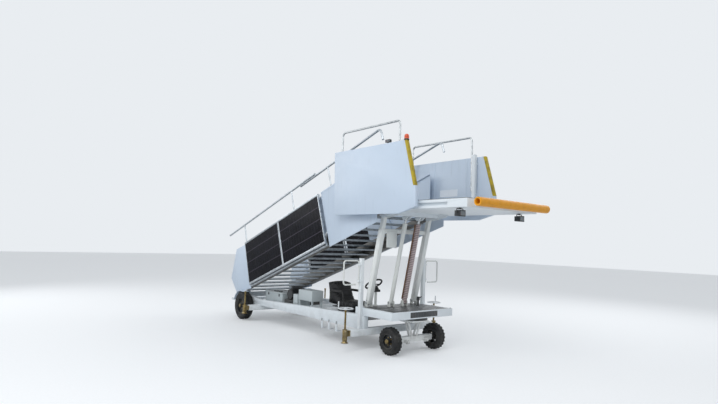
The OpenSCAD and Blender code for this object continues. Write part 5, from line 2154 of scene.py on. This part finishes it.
@dataclass
class RailFittings:
    """Clamp collars on the platform's rail frames and on the gates.

    Attributes:
        wall: How far a collar stands off from its tube.
    """

    wall: float = 0.0045

    def rings(self, name: str, body: str, radius: float,
              spots: list[tuple[Vector, Vector]]) -> None:
        """Sets one collar at each place.

        Args:
            name: Plain name of the set.
            body: Body that carries it.
            radius: Radius of the tube inside.
            spots: Middle and axis of each collar.
        """
        ring = turned([(radius - 0.001, -0.014), (radius + self.wall, -0.012),
                       (radius + self.wall, 0.012), (radius - 0.001, 0.014)], 24)
        placed = copies(ring, [facing(place, axis) for place, axis in spots])
        settle(shade(placed), name, ALUMINIUM_POST, body)

    def build(self) -> None:
        """Collars of the platform's rail frames and of both gates."""
        frames = [(from_datum(x, side * 0.86, z), UP) for x in (-1.0, 0.42)
                  for z in (2.72, 2.79, 3.19) for side in (1, -1)]
        self.rings("Rail_collars", "platform", 0.017, frames)
        gates = [(from_datum(-0.54, side * 0.79, z), UP) for side in (1, -1)
                 for z in (1.128, 1.392)]
        for side, spot in ((Side.LEFT, gates[:2]), (Side.RIGHT, gates[2:])):
            self.rings(f"Gate_collars_{side.word}", f"gate_{side.word}", 0.0125, spot)


@dataclass
class BumperEnds:
    """The hollow bumper with rounded lips, and the dark pads that it sits on.

    Attributes:
        hollow: How far the hollow reaches in from each end.
        bore: Share of the radius that is hollow.
        pad: Half the side of a pad.
    """

    hollow: float = 0.09
    bore: float = 0.63
    pad: float = 0.036

    def build(self) -> None:
        """Turns the bumper's tube about its own axis and sets the pads behind it."""
        low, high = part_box("bumper")
        half, radius = (high.y - low.y) / 2, (high.z - low.z) / 2
        middle = (low + high) / 2
        side = [(radius * self.bore, half - self.hollow), (radius * self.bore, half - 0.004),
                (radius * 0.66, half - 0.0005), (radius * 0.93, half),
                (radius * 0.985, half - 0.004), (radius, half - 0.012)]
        tube_wall = turned([(r, -z) for r, z in side] + side[::-1], 56)
        stand(tube_wall, facing(middle, LEFT))
        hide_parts("bumper")
        settle(shade(tube_wall), "Bumper_tube", BUMPER_RUBBER, "platform")
        pads = []
        for y in (-0.6, 0.0, 0.6):
            pad = block((low.x - 0.006, y - self.pad, middle.z - self.pad),
                        (low.x + 0.006, y + self.pad, middle.z + self.pad))
            pads.append(roll_edges(pad, 0.002, 1))
        settle(shade(join(pads)), "Bumper_pads", BLACK_STEEL, "platform")


WELDED_PIECES: dict[str, tuple[str, Finish, float | None]] = {
    "side_beams": ("Side_beams", WHITE_FRAME, 4.0),
    "cross_beams": ("Cross_beams", LIT_OUTRIGGER_WHITE, 4.0),
    "rear_axle": ("Rear_axle", WHITE_FRAME, 3.0),
    "rear_entry_step": ("Rear_entry_step", WHITE_FRAME, 2.0),
    "mudguards": ("Mudguards", WHITE_SHEET, 1.5),
    "side_steps": ("Side_steps", WHITE_FRAME, 2.0),
    "deck_frame": ("Deck_frame", WHITE_FRAME, 3.0),
    "deck_plates": ("Deck_plates", CHECKER, 1.0),
    "dolly_frame": ("Dolly_frame", DOLLY_PAINT, 2.0),
    "lift_clevises": ("Lift_clevises", CREAM_FRAME, 1.5),
    "gate_posts": ("Gate_posts", LIT_OUTRIGGER_WHITE, 2.5),
    "jack_sleeves": ("Jack_sleeves", ZINC, 2.0),
    "battery_box": ("Battery_box", GREY_BOX, 3.0),
    "equipment_boxes": ("Equipment_boxes", GREY_BOX, 3.0),
    "seat_base": ("Driver_base", BLACK_STEEL, 3.0),
    "lower_stringers": ("Lower_stringers", STAIR_STEEL, 1.5),
    "lower_treads": ("Lower_treads", ALUMINIUM_ACROSS, 1.0),
    "pv_side_frames": ("Module_rails", ALUMINIUM, 1.0),
    "lower_end_sheets": ("Lower_end_sheets", WHITE_SHEET, 1.5),
    "upper_stringers": ("Upper_stringers", STAIR_STEEL, 1.5),
    "upper_treads": ("Upper_treads", ALUMINIUM_ACROSS, 1.0),
    "upper_side_sheets": ("Upper_side_sheets", WHITE_SHEET, 1.5),
    "platform_frame": ("Platform_frame", WHITE_FRAME, 2.5),
    "platform_floor": ("Platform_floor", CHECKER, 1.0),
    "side_panels": ("Side_panels", WHITE_SHEET, 3.0),
    "edge_strips": ("Edge_strips", STRIP_RUBBER, 3.0),
    "leg_outers": ("Outer_legs", LEG_PAINT, 4.0),
    "leg_inners": ("Inner_legs", LEG_PAINT, 3.0),
}


def main() -> None:
    """Builds the studio and then every sub-assembly in order."""
    Studio(eye=from_datum(6.017, -6.193, 1.76)).build()
    dress_frame()
    WeldedStructure().build()
    for wheel, nuts, disc, lugs in (("front", 0.058, 0.0256, 22), ("rear", 0.076, 0.0327, 30)):
        for side in Side:
            Tyre(f"{wheel}_tyre_{side.word}", lugs).build()
            HubFittings(f"{wheel}_{side.word}", nuts, disc).build()
    SolarModules().build()
    SidePanels().build()
    DriverSeat().build()
    SteeringWheel().build()
    for end, wheeled in (("front", True), ("rear", False)):
        for side in Side:
            ScrewJack(f"jack_{end}_{side.word}", wheeled).build()
    Lamps().build()
    PowerPack().build()
    Batteries().build()
    RailFittings().build()
    BumperEnds().build()
    Bolting().build()


if __name__ == "__main__":
    logging.basicConfig(level=logging.INFO, format="%(message)s")
    main()
